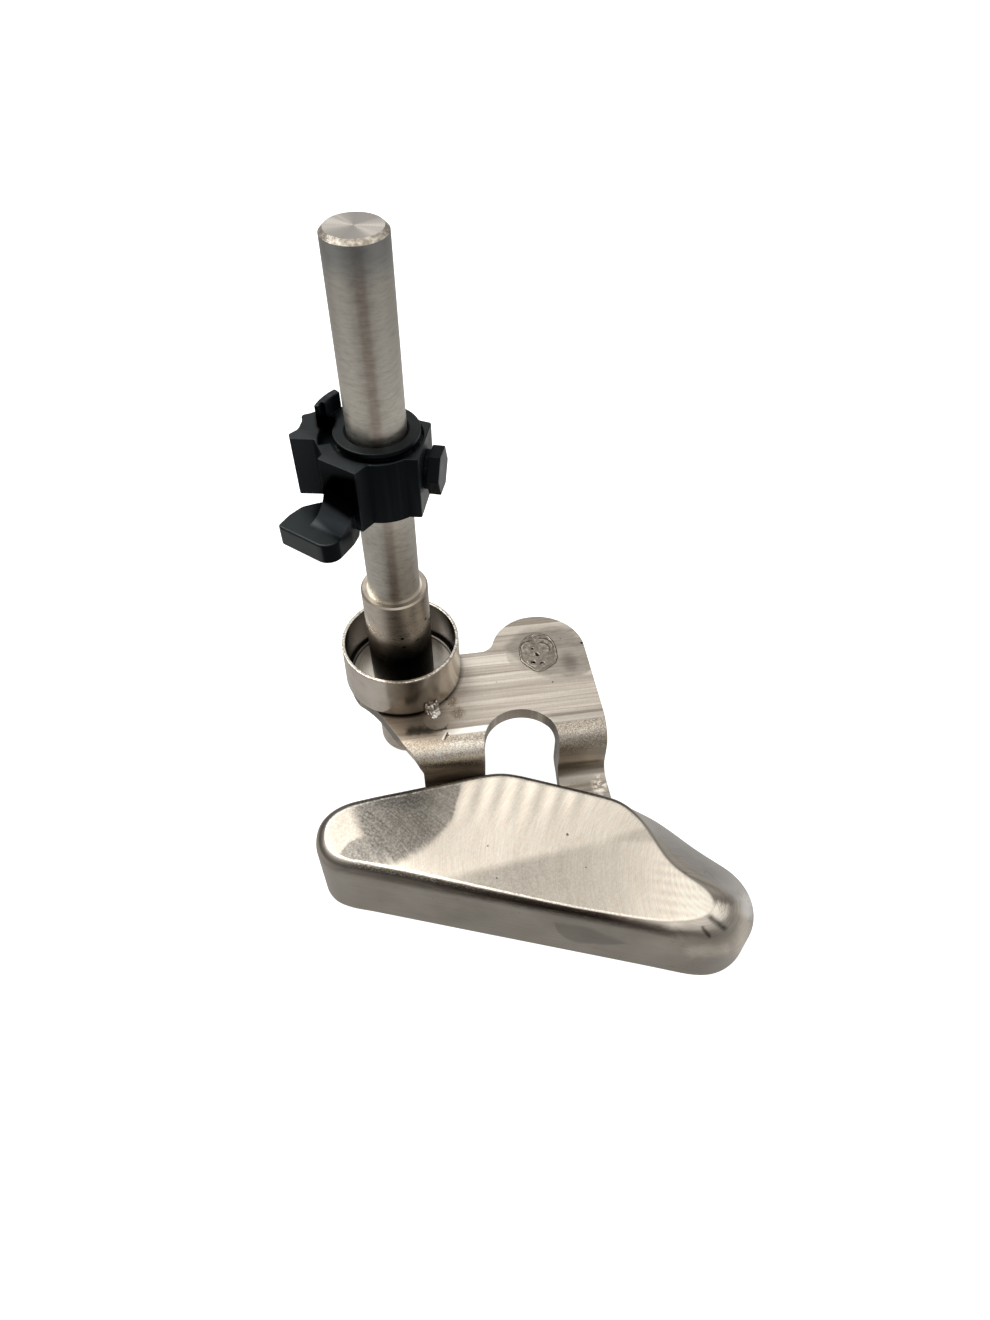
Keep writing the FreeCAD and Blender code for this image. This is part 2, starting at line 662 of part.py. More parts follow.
# Plan outline, counterclockwise from the front: corner name, corner (x, y),
# point on the arc to the next corner (None where the edge is straight)
BODY_OUTLINE = [
    ("front start", polar(FRONT_R, -105.0), polar(FRONT_R, -83)),
    ("front end", polar(FRONT_R, -61.5), None),
    ("screw flat start", flat_corner(-8.75), None),
    ("screw flat end", flat_corner(8.20), None),
    ("right shoulder", (11.9, 5.4), (10.6, 7.4)),
    ("neck start", polar(NECK_R, 50.0), polar(NECK_R, 68)),
    ("neck end", polar(NECK_R, 84.0), None),
    ("back start", polar(BACK_R, 90.0), polar(BACK_R, 110)),
    ("back end", polar(BACK_R, 130.0), None),
    ("back left", (-13.9, 14.6), None),
    ("left bevel", (-17.4, 13.1), None),
    ("left hollow start", (-20.0, 12.5), (-19.65, 10.2)),
    ("left hollow end", (-20.1, 8.2), (-20.4, 6.7)),
    ("ear root back", (-21.0, 5.6), None),
    ("ear tip back", (-23.2, 3.9), None),
    ("ear tip front", (-22.9, 1.7), None),
    ("ear root front", (-16.6, 0.5), None),
    ("waist", (-14.7, -6.3), None),
    ("facet left", (-15.9, -8.1), None),
    ("facet right", (-6.7, -15.95), None),
]
# Roundings of the upright edges, in the order they are made
BODY_ROUNDINGS = [
    ("left hollow start", 1.2), ("ear tip back", 1.1), ("ear tip front", 0.6),
    ("left bevel", 1.0), ("ear root back", 0.8), ("ear root front", 0.8), ("waist", 0.5),
    ("facet left", 0.35), ("facet right", 0.35), ("screw flat start", 0.5),
    ("screw flat end", 0.8), ("right shoulder", 0.6), ("back start", 0.6),
    ("neck end", 1.0), ("back left", 1.0),
]
TAB_TOP, TAB_BOT = 80.0, 73.7
# Plan corners of the thumb tab: x, y, corner radius
TAB_CORNERS = [
    (-11.5, -3.5, 0), (-18.0, -4.6, 0), (-22.4, -5.6, 4.0), (-25.9, -8.7, 5.0),
    (-29.0, -12.9, 1.3), (-15.6, -24.9, 4.2), (-9.4, -16.6, 4.0), (-7.8, -13.2, 0),
    (-7.0, -6.0, 0),
]
FACET_OUT = Vector(-0.647, -0.763, 0)      # normal of the facet above the tab
FACET_ALONG = Vector(0.763, -0.647, 0)
FACET_DISTANCE = 16.47   # from the post axis
SWEEP_R = 7.6            # hollow sweep from the tab up to the facet
SWEEP_SIDE0, SWEEP_SIDE1 = -6.6, 4.8
LUG_TOP = 103.0
LUG_AZ0, LUG_AZ1 = 126.0, 158.5
LAND_AZ1 = 151.0         # end of the land and start of the hollow beside it


def rounded_corners(table):
    """Corners for closed_wire, each (x, y, radius) row rounded by its radius."""
    corners = []
    for i, (x, y, radius) in enumerate(table):
        if radius <= 0:
            corners.append(((x, y), None))
            continue
        before, after = table[i - 1], table[(i + 1) % len(table)]
        corner = flat(x, y)
        back = flat(before[0], before[1]) - corner
        ahead = flat(after[0], after[1]) - corner
        back.normalize()
        ahead.normalize()
        half = 0.5 * back.getAngle(ahead)
        bisector = back + ahead
        bisector.normalize()
        start = corner + back * (radius / math.tan(half))
        via = corner + bisector * (radius / math.sin(half) - radius)
        end = corner + ahead * (radius / math.tan(half))
        corners += [((start.x, start.y), (via.x, via.y)), ((end.x, end.y), None)]
    return corners


def body_block():
    """Upright block of the body with its corners rounded."""
    wire = closed_wire([(corner, via) for _, corner, via in BODY_OUTLINE])
    block = slab(wire, CLAMP_BOT, CLAMP_TOP - CLAMP_BOT)
    places = {name: corner for name, corner, _ in BODY_OUTLINE}
    for name, radius in BODY_ROUNDINGS:
        x, y = places[name]

        def upright(edge):
            box = edge.BoundBox
            return (box.ZLength >= 5 and box.XLength <= 0.01 and box.YLength <= 0.01
                    and abs(box.XMin - x) < 0.3 and abs(box.YMin - y) < 0.3)

        block = soften(block, radius, upright)
    return one(block)


def tab_and_sweep():
    """Low thumb tab towards -X and -Y, and the hollow sweep up to the facet."""
    wire = closed_wire(rounded_corners(TAB_CORNERS))
    tab = slab(wire, TAB_BOT, TAB_TOP - TAB_BOT)
    tab = soften(tab, 0.5, lambda edge: edge.BoundBox.ZLength < 1e-4)

    def place(out, z):
        return FACET_OUT * (FACET_DISTANCE + out) + FACET_ALONG * SWEEP_SIDE0 + Vector(0, 0, z)

    inside, low, high = -3, TAB_TOP - 1.5, TAB_TOP + SWEEP_R
    section = [
        ((inside, low), None),
        ((SWEEP_R, low), None),
        ((SWEEP_R, TAB_TOP), arc_mid(SWEEP_R, high, -SWEEP_R, -SWEEP_R)),
        ((0, high), None),
        ((inside, high), None),
    ]
    sweep = Part.Face(closed_wire(section, place)).extrude(
        FACET_ALONG * (SWEEP_SIDE1 - SWEEP_SIDE0))
    # the sweep keeps within the tab's own plan
    return tab, one(sweep.common(slab(wire, TAB_BOT, 30)))


def arc_sector(inner_r, outer_r, az0, az1, z0, z1):
    """Upright piece of a ring between two directions."""
    mid = 0.5 * (az0 + az1)
    corners = [
        (polar(outer_r, az0), polar(outer_r, mid)),
        (polar(outer_r, az1), None),
        (polar(inner_r, az1), polar(inner_r, mid)),
        (polar(inner_r, az0), None),
    ]
    wire = closed_wire(corners, lambda x, y: Vector(x, y, z0))
    return Part.Face(wire).extrude(Vector(0, 0, z1 - z0))


def bore_cutter():
    """The bore, the groove around the bush, the hollow beside the land at the
    foot of the lug, and clearance for the retaining ring, as one cutter."""
    pocket = arc_sector(GROOVE_R - 1.5, 15.6, LAND_AZ1, 188.0, GROOVE_Z, CUT_Z1)
    groove = Part.makeCylinder(GROOVE_R, 30, Vector(0, 0, GROOVE_Z), UP, 304)
    groove.rotate(Vector(0, 0, 0), UP, LAND_AZ1)
    cutter = one(groove.fuse(pocket))
    for part in (
        cyl(FLANGE_R + 0.2, GROOVE_Z, CUT_Z1),
        cyl(BUSH_OUT + 0.05, CUT_Z0, CUT_Z1 + 1),
        # the tab stops short of the retaining ring under the body
        cyl(BUSH_OUT + 1.7, CUT_Z0, CLAMP_BOT),
    ):
        cutter = one(cutter.fuse(part))
    return cutter


def make_clamp_body():
    tab, sweep = tab_and_sweep()
    body = one(body_block().fuse(tab))
    body = one(body.fuse(sweep))
    body = one(tidy(body))
    # arc lug standing on the top at the back left
    lug = arc_sector(14.5, 16.8, LUG_AZ0, LUG_AZ1, CLAMP_TOP - 3.0, LUG_TOP)
    lug = soften(lug, 0.45, lambda edge: (edge.BoundBox.ZMin > LUG_TOP - 0.01
                                          or edge.BoundBox.ZLength > 5))
    # land between the bush flange and the lug
    land = arc_sector(FLANGE_R + 0.25, 14.7, LUG_AZ0, LAND_AZ1, CLAMP_TOP - 1.0, 98.3)
    body = one(body.fuse(lug))
    body = one(body.fuse(land))
    body = one(body.cut(bore_cutter()))
    # the left ear is a little shallower than the rest
    body = one(body.cut(Part.makeBox(16, 24, 3.0, Vector(-31, -3.4, CLAMP_BOT - 2.0))))
    # screw hole and insert seat
    drill = screw_cyl(SCREW_HOLE_R, 6, 10)
    drill = one(drill.fuse(screw_cyl(INSERT_R, 5, INSERT_START)) if False
                else drill.fuse(screw_cyl(INSERT_R, INSERT_START, 5)))
    body = one(body.cut(drill))

    def outer_top_rim(edge):
        box = edge.BoundBox
        if box.ZLength > 1e-4 or abs(box.ZMin - CLAMP_TOP) > 1e-3 or edge.Length < 0.8:
            return False
        point = middle(edge)
        return math.hypot(point.x, point.y) > 12.7

    return soften(body, 0.3, outer_top_rim)


# ======================================================= insert, pad and screw
def make_insert():
    insert = screw_cyl(INSERT_R, INSERT_START, SCREW_FLAT - INSERT_START)
    return insert.cut(screw_cyl(SCREW_HOLE_R, 6, 10))


def make_pad():
    """Pad between the screw's tip and the bush, hollowed to the bush."""
    pad = screw_cyl(SCREW_R - 0.05, PAD_START, PAD_END - PAD_START)
    return pad.cut(cyl(BUSH_OUT + 0.12, CUT_Z0, CUT_Z1))


def make_screw():
    """Shank, round collar and hexagonal head."""
    tip = PAD_END + 0.02
    screw = screw_cyl(SCREW_R, tip, HEX_START - PAD_END + 0.5)
    tip_centre = SCREW_ORIGIN + SCREW_DIR * tip
    tip_edges = [e for e in screw.Edges if (e.CenterOfMass - tip_centre).Length < 0.05]
    screw = screw.makeChamfer(0.35, tip_edges)
    collar_start = SCREW_FLAT + 0.05
    screw = screw.fuse(screw_cyl(5.35, collar_start, HEX_START - collar_start))
    corner_r = HEX_AF / 2 / math.cos(math.radians(30))
    corners = []
    for i in range(6):
        sideways, z = polar(corner_r, 60 * i - 6.5)
        corners.append(SCREW_ORIGIN + SCREW_DIR * HEX_START + SCREW_SIDE * sideways
                       + Vector(0, 0, z))
    head = Part.Face(Part.makePolygon(corners + corners[:1]))
    head = head.extrude(SCREW_DIR * (HEX_END - HEX_START))
    return screw.fuse(soften(head, 0.25, lambda edge: True))


# ====================================================================== pieces
foot = make_foot()
arm = make_arm(foot)
cup = make_cup()
save(foot, "foot_block", merge=False)
save(arm, "cranked_arm")
save(make_hub(), "pivot_hub")
save(make_post(), "post_rod")
save(cup, "drip_cup")
save(make_tack_weld(cup), "cup_tack_weld")
save(make_hub_weld(), "hub_weld_ring")
save(make_pin(), "lobe_pin")
save(make_plug_weld(), "lobe_plug_weld")
save(make_leg_weld((4.2, -42.05), (21.9, -40.75), foot, arm), "left_leg_weld")
save(make_leg_weld((49.9, -49.95), (59.4, -54.2), foot, arm), "right_leg_weld")
save(make_bush(), "collar_bush")
save(make_washer(), "wave_washer")
save(make_retaining_ring(), "bush_retaining_ring")
save(make_clamp_body(), "clamp_body")
save(make_insert(), "thread_insert")
save(make_pad(), "pressure_pad")
save(tidy(make_screw()), "clamp_screw")
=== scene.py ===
"""Steel post stand with a black plastic clamp collar.

The post axis is Z through the origin, in a hub and a drip cup. A cranked arm
runs to the right (+X) and bends down in front (-Y) to the machined foot block.
Meshes and the scene are in metres; tables and materials are in millimetres.
"""

import math
from collections import namedtuple

import bmesh
import bpy
from mathutils import Matrix, Vector, noise


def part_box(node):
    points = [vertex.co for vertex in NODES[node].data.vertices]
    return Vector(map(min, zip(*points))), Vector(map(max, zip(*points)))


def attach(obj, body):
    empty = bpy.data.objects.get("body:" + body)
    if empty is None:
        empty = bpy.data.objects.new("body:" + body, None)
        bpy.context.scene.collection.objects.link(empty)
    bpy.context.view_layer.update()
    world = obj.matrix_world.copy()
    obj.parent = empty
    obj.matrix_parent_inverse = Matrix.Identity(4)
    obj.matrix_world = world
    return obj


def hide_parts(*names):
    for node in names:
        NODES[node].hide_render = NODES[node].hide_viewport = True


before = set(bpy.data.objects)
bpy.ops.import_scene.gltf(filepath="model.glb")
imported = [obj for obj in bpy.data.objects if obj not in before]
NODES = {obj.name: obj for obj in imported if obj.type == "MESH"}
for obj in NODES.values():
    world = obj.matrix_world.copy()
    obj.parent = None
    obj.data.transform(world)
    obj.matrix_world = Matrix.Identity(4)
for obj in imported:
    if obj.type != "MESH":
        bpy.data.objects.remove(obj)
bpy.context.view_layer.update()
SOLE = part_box("foot_block")[0].z
FOOT_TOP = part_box("foot_block")[1].z * 1000.0
MM = 0.001
scene = bpy.context.scene

# Camera: eye in mm, and unit vectors ahead, to its right and down
YAW, PITCH, ROLL = math.radians(9.206), math.radians(49.210), math.radians(-0.543)
EYE = Vector((0.0, -197.77, 232.41))
AHEAD = Vector((math.sin(YAW) * math.cos(PITCH),
                math.cos(YAW) * math.cos(PITCH),
                -math.sin(PITCH)))
LEVEL_RIGHT = Vector((math.cos(YAW), -math.sin(YAW), 0.0))
LEVEL_DOWN = AHEAD.cross(LEVEL_RIGHT)
RIGHT = math.cos(ROLL) * LEVEL_RIGHT + math.sin(ROLL) * LEVEL_DOWN
DOWN = -math.sin(ROLL) * LEVEL_RIGHT + math.cos(ROLL) * LEVEL_DOWN
SENSOR, LENS = 36.0, 23.8055455

# Marks that follow the line of sight are laid out in mm on a plane this far
# from the eye. The line of sight meets that plane at SIGHT_CENTRE (right, down).
SIGHT_DISTANCE = 872.87
SIGHT_CENTRE = (495.0, 660.0)

# Plug weld ripples: centre x, y, radius, start and end angle, height.
# Only the first five also get painted light and shade as steps of tone.
PLUG_RIPPLES = [
    (44.6, 3.6, 4.3, 80, 215, 0.10), (45.2, 3.6, 3.1, 60, 200, 0.13),
    (50.2, 4.6, 4.4, -20, 120, 0.10), (49.6, 3.6, 3.7, -30, 110, 0.13),
    (49.0, 2.6, 2.8, -40, 100, 0.12), (47.0, -1.5, 5.2, 200, 330, 0.10),
    (45.6, -2.6, 2.4, 150, 300, 0.08),
]
TONED_RIPPLES = 5


# ------------------------------------------------------------------ node kit
class Signal:
    """A node output. Arithmetic on it adds Math nodes."""

    def __init__(self, graph, socket):
        self.graph = graph
        self.socket = socket

    def math(self, operation, *others, clamp=False):
        return self.graph.math(operation, self, *others, clamp=clamp)

    def __add__(self, other):
        return self.math("ADD", other)

    def __radd__(self, other):
        return self.graph.math("ADD", other, self)

    def __sub__(self, other):
        return self.math("SUBTRACT", other)

    def __rsub__(self, other):
        return self.graph.math("SUBTRACT", other, self)

    def __mul__(self, other):
        return self.math("MULTIPLY", other)

    def __rmul__(self, other):
        return self.graph.math("MULTIPLY", other, self)

    def __truediv__(self, other):
        return self.math("DIVIDE", other)

    def __abs__(self):
        return self.math("ABSOLUTE")

    def max(self, other):
        return self.math("MAXIMUM", other)

    def sqrt(self):
        return self.math("SQRT")

    def linear(self, start, end, low=0.0, high=1.0, **settings):
        """Low at start, high at end, straight between and level outside."""
        values = dict(enumerate((self, start, end, low, high)))
        return self.graph.out("ShaderNodeMapRange", values, **settings)

    def rise(self, start, end, low=0.0, high=1.0):
        """Like linear, but eased. Start may be above end."""
        return self.linear(start, end, low, high, interpolation_type="SMOOTHSTEP")

    def fall(self, start, end):
        return self.rise(start, end, 1.0, 0.0)

    def pick(self, off, on):
        """Off where this mask is 0, on where it is 1."""
        return self.graph.out("ShaderNodeMix", {0: self, 2: off, 3: on}, data_type="FLOAT")

    def red(self):
        return self.graph.out("ShaderNodeSeparateColor", {0: self})

    def curve(self, *points):
        """Smooth curve near the points (place 0 to 1, value up to 2)."""
        stops = [(place, (value / 2.0,) * 3) for place, value in points]
        return self.graph.colour_ramp(self, stops, "B_SPLINE").red() * 2.0


class Graph:
    """Adds nodes to the node tree of a material or world."""

    def __init__(self, owner):
        owner.use_nodes = True
        self.tree = owner.node_tree
        self.tree.nodes.clear()

    def feed(self, socket, value):
        """Links a signal, or sets a plain value; colours get alpha 1."""
        if isinstance(value, Signal):
            self.tree.links.new(value.socket, socket)
            return
        if isinstance(value, tuple) and len(value) == 3 and len(socket.default_value) == 4:
            value = (*value, 1.0)
        socket.default_value = value

    def node(self, kind, values=None, **settings):
        """New node; values maps input index or name to what goes in."""
        made = self.tree.nodes.new(kind)
        for name, setting in settings.items():
            setattr(made, name, setting)
        for key, value in (values or {}).items():
            self.feed(made.inputs[key], value)
        return made

    def out(self, kind, values=None, output=0, **settings):
        return Signal(self, self.node(kind, values, **settings).outputs[output])

    def math(self, operation, *operands, clamp=False):
        return self.out("ShaderNodeMath", dict(enumerate(operands)),
                        operation=operation, use_clamp=clamp)

    def split(self, vector):
        made = self.node("ShaderNodeSeparateXYZ", {0: vector})
        return [Signal(self, socket) for socket in made.outputs]

    def colour_ramp(self, value, stops, interpolation="LINEAR"):
        """Stops are (place, linear colour) in rising order."""
        made = self.node("ShaderNodeValToRGB", {0: value})
        made.color_ramp.interpolation = interpolation
        elements = made.color_ramp.elements
        while len(elements) < len(stops):
            elements.new(0.5)
        for element, (place, colour) in zip(elements, stops):
            element.position = place
            element.color = (*colour, 1.0)
        return Signal(self, made.outputs[0])


def tone(*display):
    """Display colour 0-255 to linear."""
    shares = [channel / 255.0 for channel in display]
    return tuple(share / 12.92 if share <= 0.04045 else ((share + 0.055) / 1.055) ** 2.4
                 for share in shares)


Polar = namedtuple("Polar", "radius cosine sine angle")


class Paint(Graph):
    """A procedural material whose base colour is built up in steps.

    place is x, y, z in mm; facing is the surface normal in the same frame.
    """

    def __init__(self, name):
        self.material = bpy.data.materials.new(name)
        super().__init__(self.material)
        metres = self.out("ShaderNodeTexCoord", output="Object")
        self.point = self.vector_math("SCALE", metres, scale=1000.0)
        self.place = self.split(self.point)
        normal = self.out("ShaderNodeNewGeometry", output="Normal")
        self.facing = self.split(self.out(
            "ShaderNodeVectorTransform", {0: normal},
            vector_type="NORMAL", convert_from="WORLD", convert_to="OBJECT"))

    def vec(self, *parts):
        return self.out("ShaderNodeCombineXYZ", dict(enumerate(parts)))

    def vector_math(self, operation, first, second=None, scale=None):
        values = {0: first}
        if second is not None:
            values[1] = second
        if scale is not None:
            values["Scale"] = scale
        output = "Value" if operation in ("DOT_PRODUCT", "DISTANCE") else 0
        return self.out("ShaderNodeVectorMath", values, output, operation=operation)

    def noise(self, scale, detail=3.0, rough=0.6, vector=None, output=0):
        values = {"Vector": vector or self.point, "Scale": scale,
                  "Detail": detail, "Roughness": rough}
        return self.out("ShaderNodeTexNoise", values, output)

    def grain(self, x, y, z, detail=3.0, rough=0.6):
        """Noise over stretched coordinates."""
        return self.noise(1.0, detail, rough, self.vec(x, y, z))

    def around(self, axis, turn, along, detail=3.0, rough=0.6):
        """Noise drawn out around an upright axis."""
        return self.grain(axis.cosine * turn, axis.sine * turn, self.place[2] * along,
                          detail, rough)

    def voronoi(self, scale, vector=None, feature="F1", output="Distance"):
        values = {"Vector": vector or self.point, "Scale": scale}
        return self.out("ShaderNodeTexVoronoi", values, output, feature=feature)

    def ramp(self, value, *stops):
        """Stops are (place, red, green, blue) in display colours."""
        return self.colour_ramp(value, [(stop[0], tone(*stop[1:])) for stop in stops])

    def mix(self, mask, off, on):
        return self.out("ShaderNodeMix", {0: mask, 6: off, 7: on}, output=2,
                        data_type="RGBA", blend_type="MIX")

    def tint(self, mask, colour, amount=None):
        """Lays a display colour or a ramp over the base where the mask is on."""
        if amount is not None:
            mask = mask * amount
        if isinstance(colour, tuple):
            colour = tone(*colour)
        self.base = self.mix(mask, self.base, colour)

    def shade(self, factor):
        self.base = self.vector_math("SCALE", self.base, scale=factor)

    def bump(self, height, strength, distance, normal=None):
        values = {"Strength": strength, "Distance": distance * MM, "Height": height}
        if normal is not None:
            values["Normal"] = normal
        return self.out("ShaderNodeBump", values)

    def bevel(self, radius):
        return self.out("ShaderNodeBevel", {"Radius": radius * MM}, samples=4)

    def polar(self, centre_x=0.0, centre_y=0.0):
        """Place about an upright axis."""
        from_x, from_y = self.place[0] - centre_x, self.place[1] - centre_y
        radius = hypot(from_x, from_y)
        return Polar(radius, from_x / radius, from_y / radius,
                     from_y.math("ARCTAN2", from_x))

    def sight(self, wobble=0.0, scale=0.3):
        """Place on the sight plane (right, down), with noise of size wobble."""
        ray = self.vector_math("SUBTRACT", self.point, tuple(EYE))
        right, down, depth = [self.vector_math("DOT_PRODUCT", ray, tuple(direction))
                              for direction in (RIGHT, DOWN, AHEAD)]
        right = right / depth * SIGHT_DISTANCE + SIGHT_CENTRE[0]
        down = down / depth * SIGHT_DISTANCE + SIGHT_CENTRE[1]
        if wobble:
            shifted = self.vector_math("ADD", self.point, (31.0, 7.0, 3.0))
            right = right + (self.noise(scale) - 0.5) * wobble
            down = down + (self.noise(scale, vector=shifted) - 0.5) * wobble
        return right, down

    def spots(self, spots, soft, wobble=0.0, scale=1.0):
        """Mask of round spots (x, y, z, radius) with soft edges."""
        point = self.point
        if wobble:
            jitter = self.noise(scale, detail=2.0, rough=0.5, output="Color")
            offset = self.vector_math("SUBTRACT", jitter, (0.5, 0.5, 0.5))
            offset = self.vector_math("SCALE", offset, scale=wobble)
            point = self.vector_math("ADD", point, offset)
        total = None
        for x, y, z, radius in spots:
            distance = self.vector_math("DISTANCE", point, (x, y, z))
            spot = distance.fall(radius * (1.0 - soft), radius * (1.0 + soft))
            total = spot if total is None else total.max(spot)
        return total

    def finish(self, Metallic=1.0, **inputs):
        values = {name.replace("_", " "): value for name, value in inputs.items()}
        values.update({"Base Color": self.base, "Metallic": Metallic})
        shader = self.out("ShaderNodeBsdfPrincipled", values)
        self.node("ShaderNodeOutputMaterial", {0: shader})
        return self.material


def hypot(first, second):
    return (first * first + second * second).sqrt()


def gain(factor, *steps):
    """Multiplies a running factor by each (mask, amount) where the mask is on."""
    for mask, amount in steps:
        factor = factor * (1.0 + mask * (amount - 1.0))
    return factor


def stripes(value, pitch):
    return (value * (2 * math.pi / pitch)).math("SINE")


def polygon(sight, corners, soft):
    """Inside of a convex outline. soft: one border width, or one per side."""
    count = len(corners)
    pairs = [(corners[i], corners[(i + 1) % count]) for i in range(count)]
    area = sum(start[0] * end[1] - end[0] * start[1] for start, end in pairs)
    sign = 1.0 if area > 0 else -1.0
    widths = soft if isinstance(soft, list) else [soft] * count
    total = None
    for ((x0, y0), (x1, y1)), width in zip(pairs, widths):
        length = math.hypot(x1 - x0, y1 - y0)
        inward_x, inward_y = -(y1 - y0) / length * sign, (x1 - x0) / length * sign
        shift = -(x0 * inward_x + y0 * inward_y)
        distance = sight[0] * inward_x + (sight[1] * inward_y + shift)
        side = distance.rise(-width, width)
        total = side if total is None else total * side
    return total


def stroke(sight, start, end, radius, soft):
    """Soft-edged straight stroke."""
    run, drop = end[0] - start[0], end[1] - start[1]
    from_x, from_y = sight[0] - start[0], sight[1] - start[1]
    dot = from_x * run + from_y * drop
    share = dot.math("DIVIDE", run * run + drop * drop, clamp=True)
    distance = hypot(from_x - share * run, from_y - share * drop)
    return distance.rise(radius + soft, max(radius - soft, 0.0))


def disc(sight, centre, radii, soft):
    """Soft-edged ellipse; soft is a share of the radii."""
    distance = hypot((sight[0] - centre[0]) / radii[0], (sight[1] - centre[1]) / radii[1])
    return distance.rise(1.0 + soft, 1.0 - soft)


# ---------------------------------------------------------------- materials
def post_steel():
    mat = Paint("post_turned_steel")
    z, face_z = mat.place[2], mat.facing[2]
    axis = mat.polar()
    fine = mat.around(axis, turn=0.9, along=7.0, rough=0.65)
    coarse = mat.around(axis, turn=2.2, along=1.1, detail=4.0)
    mat.base = mat.ramp(coarse, (0.28, 168, 164, 155), (0.5, 188, 184, 175),
                        (0.75, 200, 196, 187))
    # painted dark reflection down the front, on the camera side, broken up by the grain
    front = abs(axis.angle + 1.62).fall(0.10, 0.42)
    patch = mat.around(axis, turn=3.0, along=0.45, detail=4.0, rough=0.65)
    mat.tint(front * patch.rise(0.34, 0.62), (128, 110, 96), amount=0.26)
    # narrow core of the same painted reflection
    narrow = abs(axis.angle + 1.575).rise(0.25, 0.06) * fine.rise(0.35, 0.6, 0.55, 1.0)
    mat.tint(narrow, (118, 92, 78), amount=0.42)
    # blue-grey band just under the chamfer
    mat.tint(z.rise(138.5, 147.5) * face_z.fall(0.2, 0.5), (126, 130, 134), amount=0.62)
    fleck = mat.around(axis, turn=7, along=2.6, rough=0.7).rise(0.58, 0.70)
    mat.tint(fleck, (134, 122, 110), amount=0.22)

    # light along the side: brighter high up, darker edges, banded low down
    side = face_z.rise(0.4, 0.2)
    turn = axis.angle.linear(-math.pi, 0.0)
    light = 1.0 + side * (z.linear(103.0, 142.0, 1.28, 1.12) + -1.0)
    edges = turn.rise(0.33, 0.12).max(turn.rise(0.60, 0.80))
    light = gain(light, (side * (z.rise(100.0, 135.0) * edges), 0.72))
    low = turn.curve((0.12, 1.15), (0.30, 1.08), (0.40, 0.88), (0.47, 0.52),
                     (0.56, 0.50), (0.64, 0.76), (0.74, 0.92), (0.90, 0.86))
    light = light * (side * z.rise(74.0, 50.0)).pick(1.0, low)
    mottle = mat.around(axis, turn=4.5, along=0.8, detail=4.0, rough=0.7)
    light = gain(light,
                 (mottle.rise(0.5, 0.66) * z.rise(76.0, 66.0), 0.88),
                 (side * z.rise(76.0, 66.0), 0.76))
    mat.shade(light)

    # face of the end: rings, and a painted highlight on the chamfer
    rings = mat.grain(axis.radius * 6.0, 0.0, 0.0)
    face = face_z.rise(0.9, 0.98)
    mat.tint(face, mat.ramp(rings, (0.3, 190, 185, 178), (0.7, 222, 217, 210)))
    chamfer = face_z.rise(0.35, 0.6) * face_z.fall(0.8, 0.9)
    nicks = mat.grain(axis.angle * 5.0, z * 1.2, 0.0)
    mat.tint(chamfer, mat.ramp(nicks, (0.36, 160, 150, 137), (0.50, 196, 186, 172),
                               (0.64, 240, 233, 221)), amount=0.9)
    normal = mat.bump(face.pick(fine, rings), strength=0.10, distance=0.05)
    normal = mat.bump(nicks, strength=0.0, distance=0.05, normal=normal)
    return mat.finish(Roughness=coarse.linear(0.3, 0.7, 0.30, 0.42) + chamfer * -0.08,
                      Anisotropic=0.55, Tangent=mat.vec(axis.sine * -1.0, axis.cosine, 0.0),
                      Normal=normal)


def hub_steel():
    mat = Paint("hub_satin_steel")
    (x, y, z), face_z = mat.place, mat.facing[2]
    axis = mat.polar()
    fine = mat.around(axis, turn=0.9, along=5.0, rough=0.65)
    coarse = mat.around(axis, turn=2.2, along=0.8, detail=4.0)
    mat.base = mat.ramp(coarse, (0.3, 172, 161, 148), (0.55, 190, 180, 168),
                        (0.8, 202, 194, 184))
    # dark heat tint round the foot of the sleeve, inside the cup
    level = z + (mat.noise(0.22, detail=4.0) - 0.5) * 7.0
    above = z.rise(-1.0, 0.5)
    heat = level.fall(19.5, 28.0) * above
    mat.tint(heat, (96, 82, 70), amount=0.75)
    soot = mat.ramp(mat.noise(0.9), (0.3, 24, 21, 19), (0.7, 52, 47, 42))
    mat.tint(level.fall(16.0, 21.5) * above, soot, amount=0.93)
    mat.tint(z.fall(4.0, 9.5) * above, (98, 88, 78), amount=0.5)
    cells = mat.voronoi(0.55, mat.vec(x * 1.0, y * 1.0, z * 1.5))
    specks = cells.fall(0.14, 0.20) * (z.rise(18.0, 22.0) * z.fall(30.0, 34.0))
    pits = mat.spots([(8.7, -5.9, 31.0, 0.55), (0.6, -10.4, 27.6, 0.5),
                      (0.9, -10.4, 23.6, 0.55), (5.5, -8.9, 24.8, 0.4)], soft=0.35)
    specks = (specks * 0.35).max(pits)
    mat.tint(specks, (30, 26, 23))
    # painted reflections: soft upright bands of light and shade on the turned wall
    reflection_bands = axis.angle.linear(-math.pi, 0.0).curve(
        (0.10, 1.15), (0.30, 1.20), (0.36, 0.85), (0.42, 0.42), (0.50, 0.36),
        (0.56, 0.42), (0.62, 0.80), (0.75, 0.92), (0.85, 0.45), (0.95, 0.9))
    mat.shade((above * face_z.rise(0.3, 0.1)).pick(1.0, reflection_bands))
    # painted highlights on the top chamfer and on the rim at the post joint
    mat.tint(face_z.rise(0.3, 0.6) * z.rise(40.5, 40.8), (190, 178, 160), amount=0.35)
    mat.tint(axis.radius.rise(8.75, 8.45) * z.rise(41.0, 41.3), (250, 243, 230))
    normal = mat.bump(fine, strength=0.07, distance=0.05)
    normal = mat.bump(1.0 - specks, strength=0.35, distance=0.1, normal=normal)
    return mat.finish(Roughness=heat.pick(coarse.linear(0.3, 0.7, 0.24, 0.33), 0.34),
                      Anisotropic=0.45, Tangent=mat.vec(axis.sine * -1.0, axis.cosine, 0.0),
                      Normal=normal)


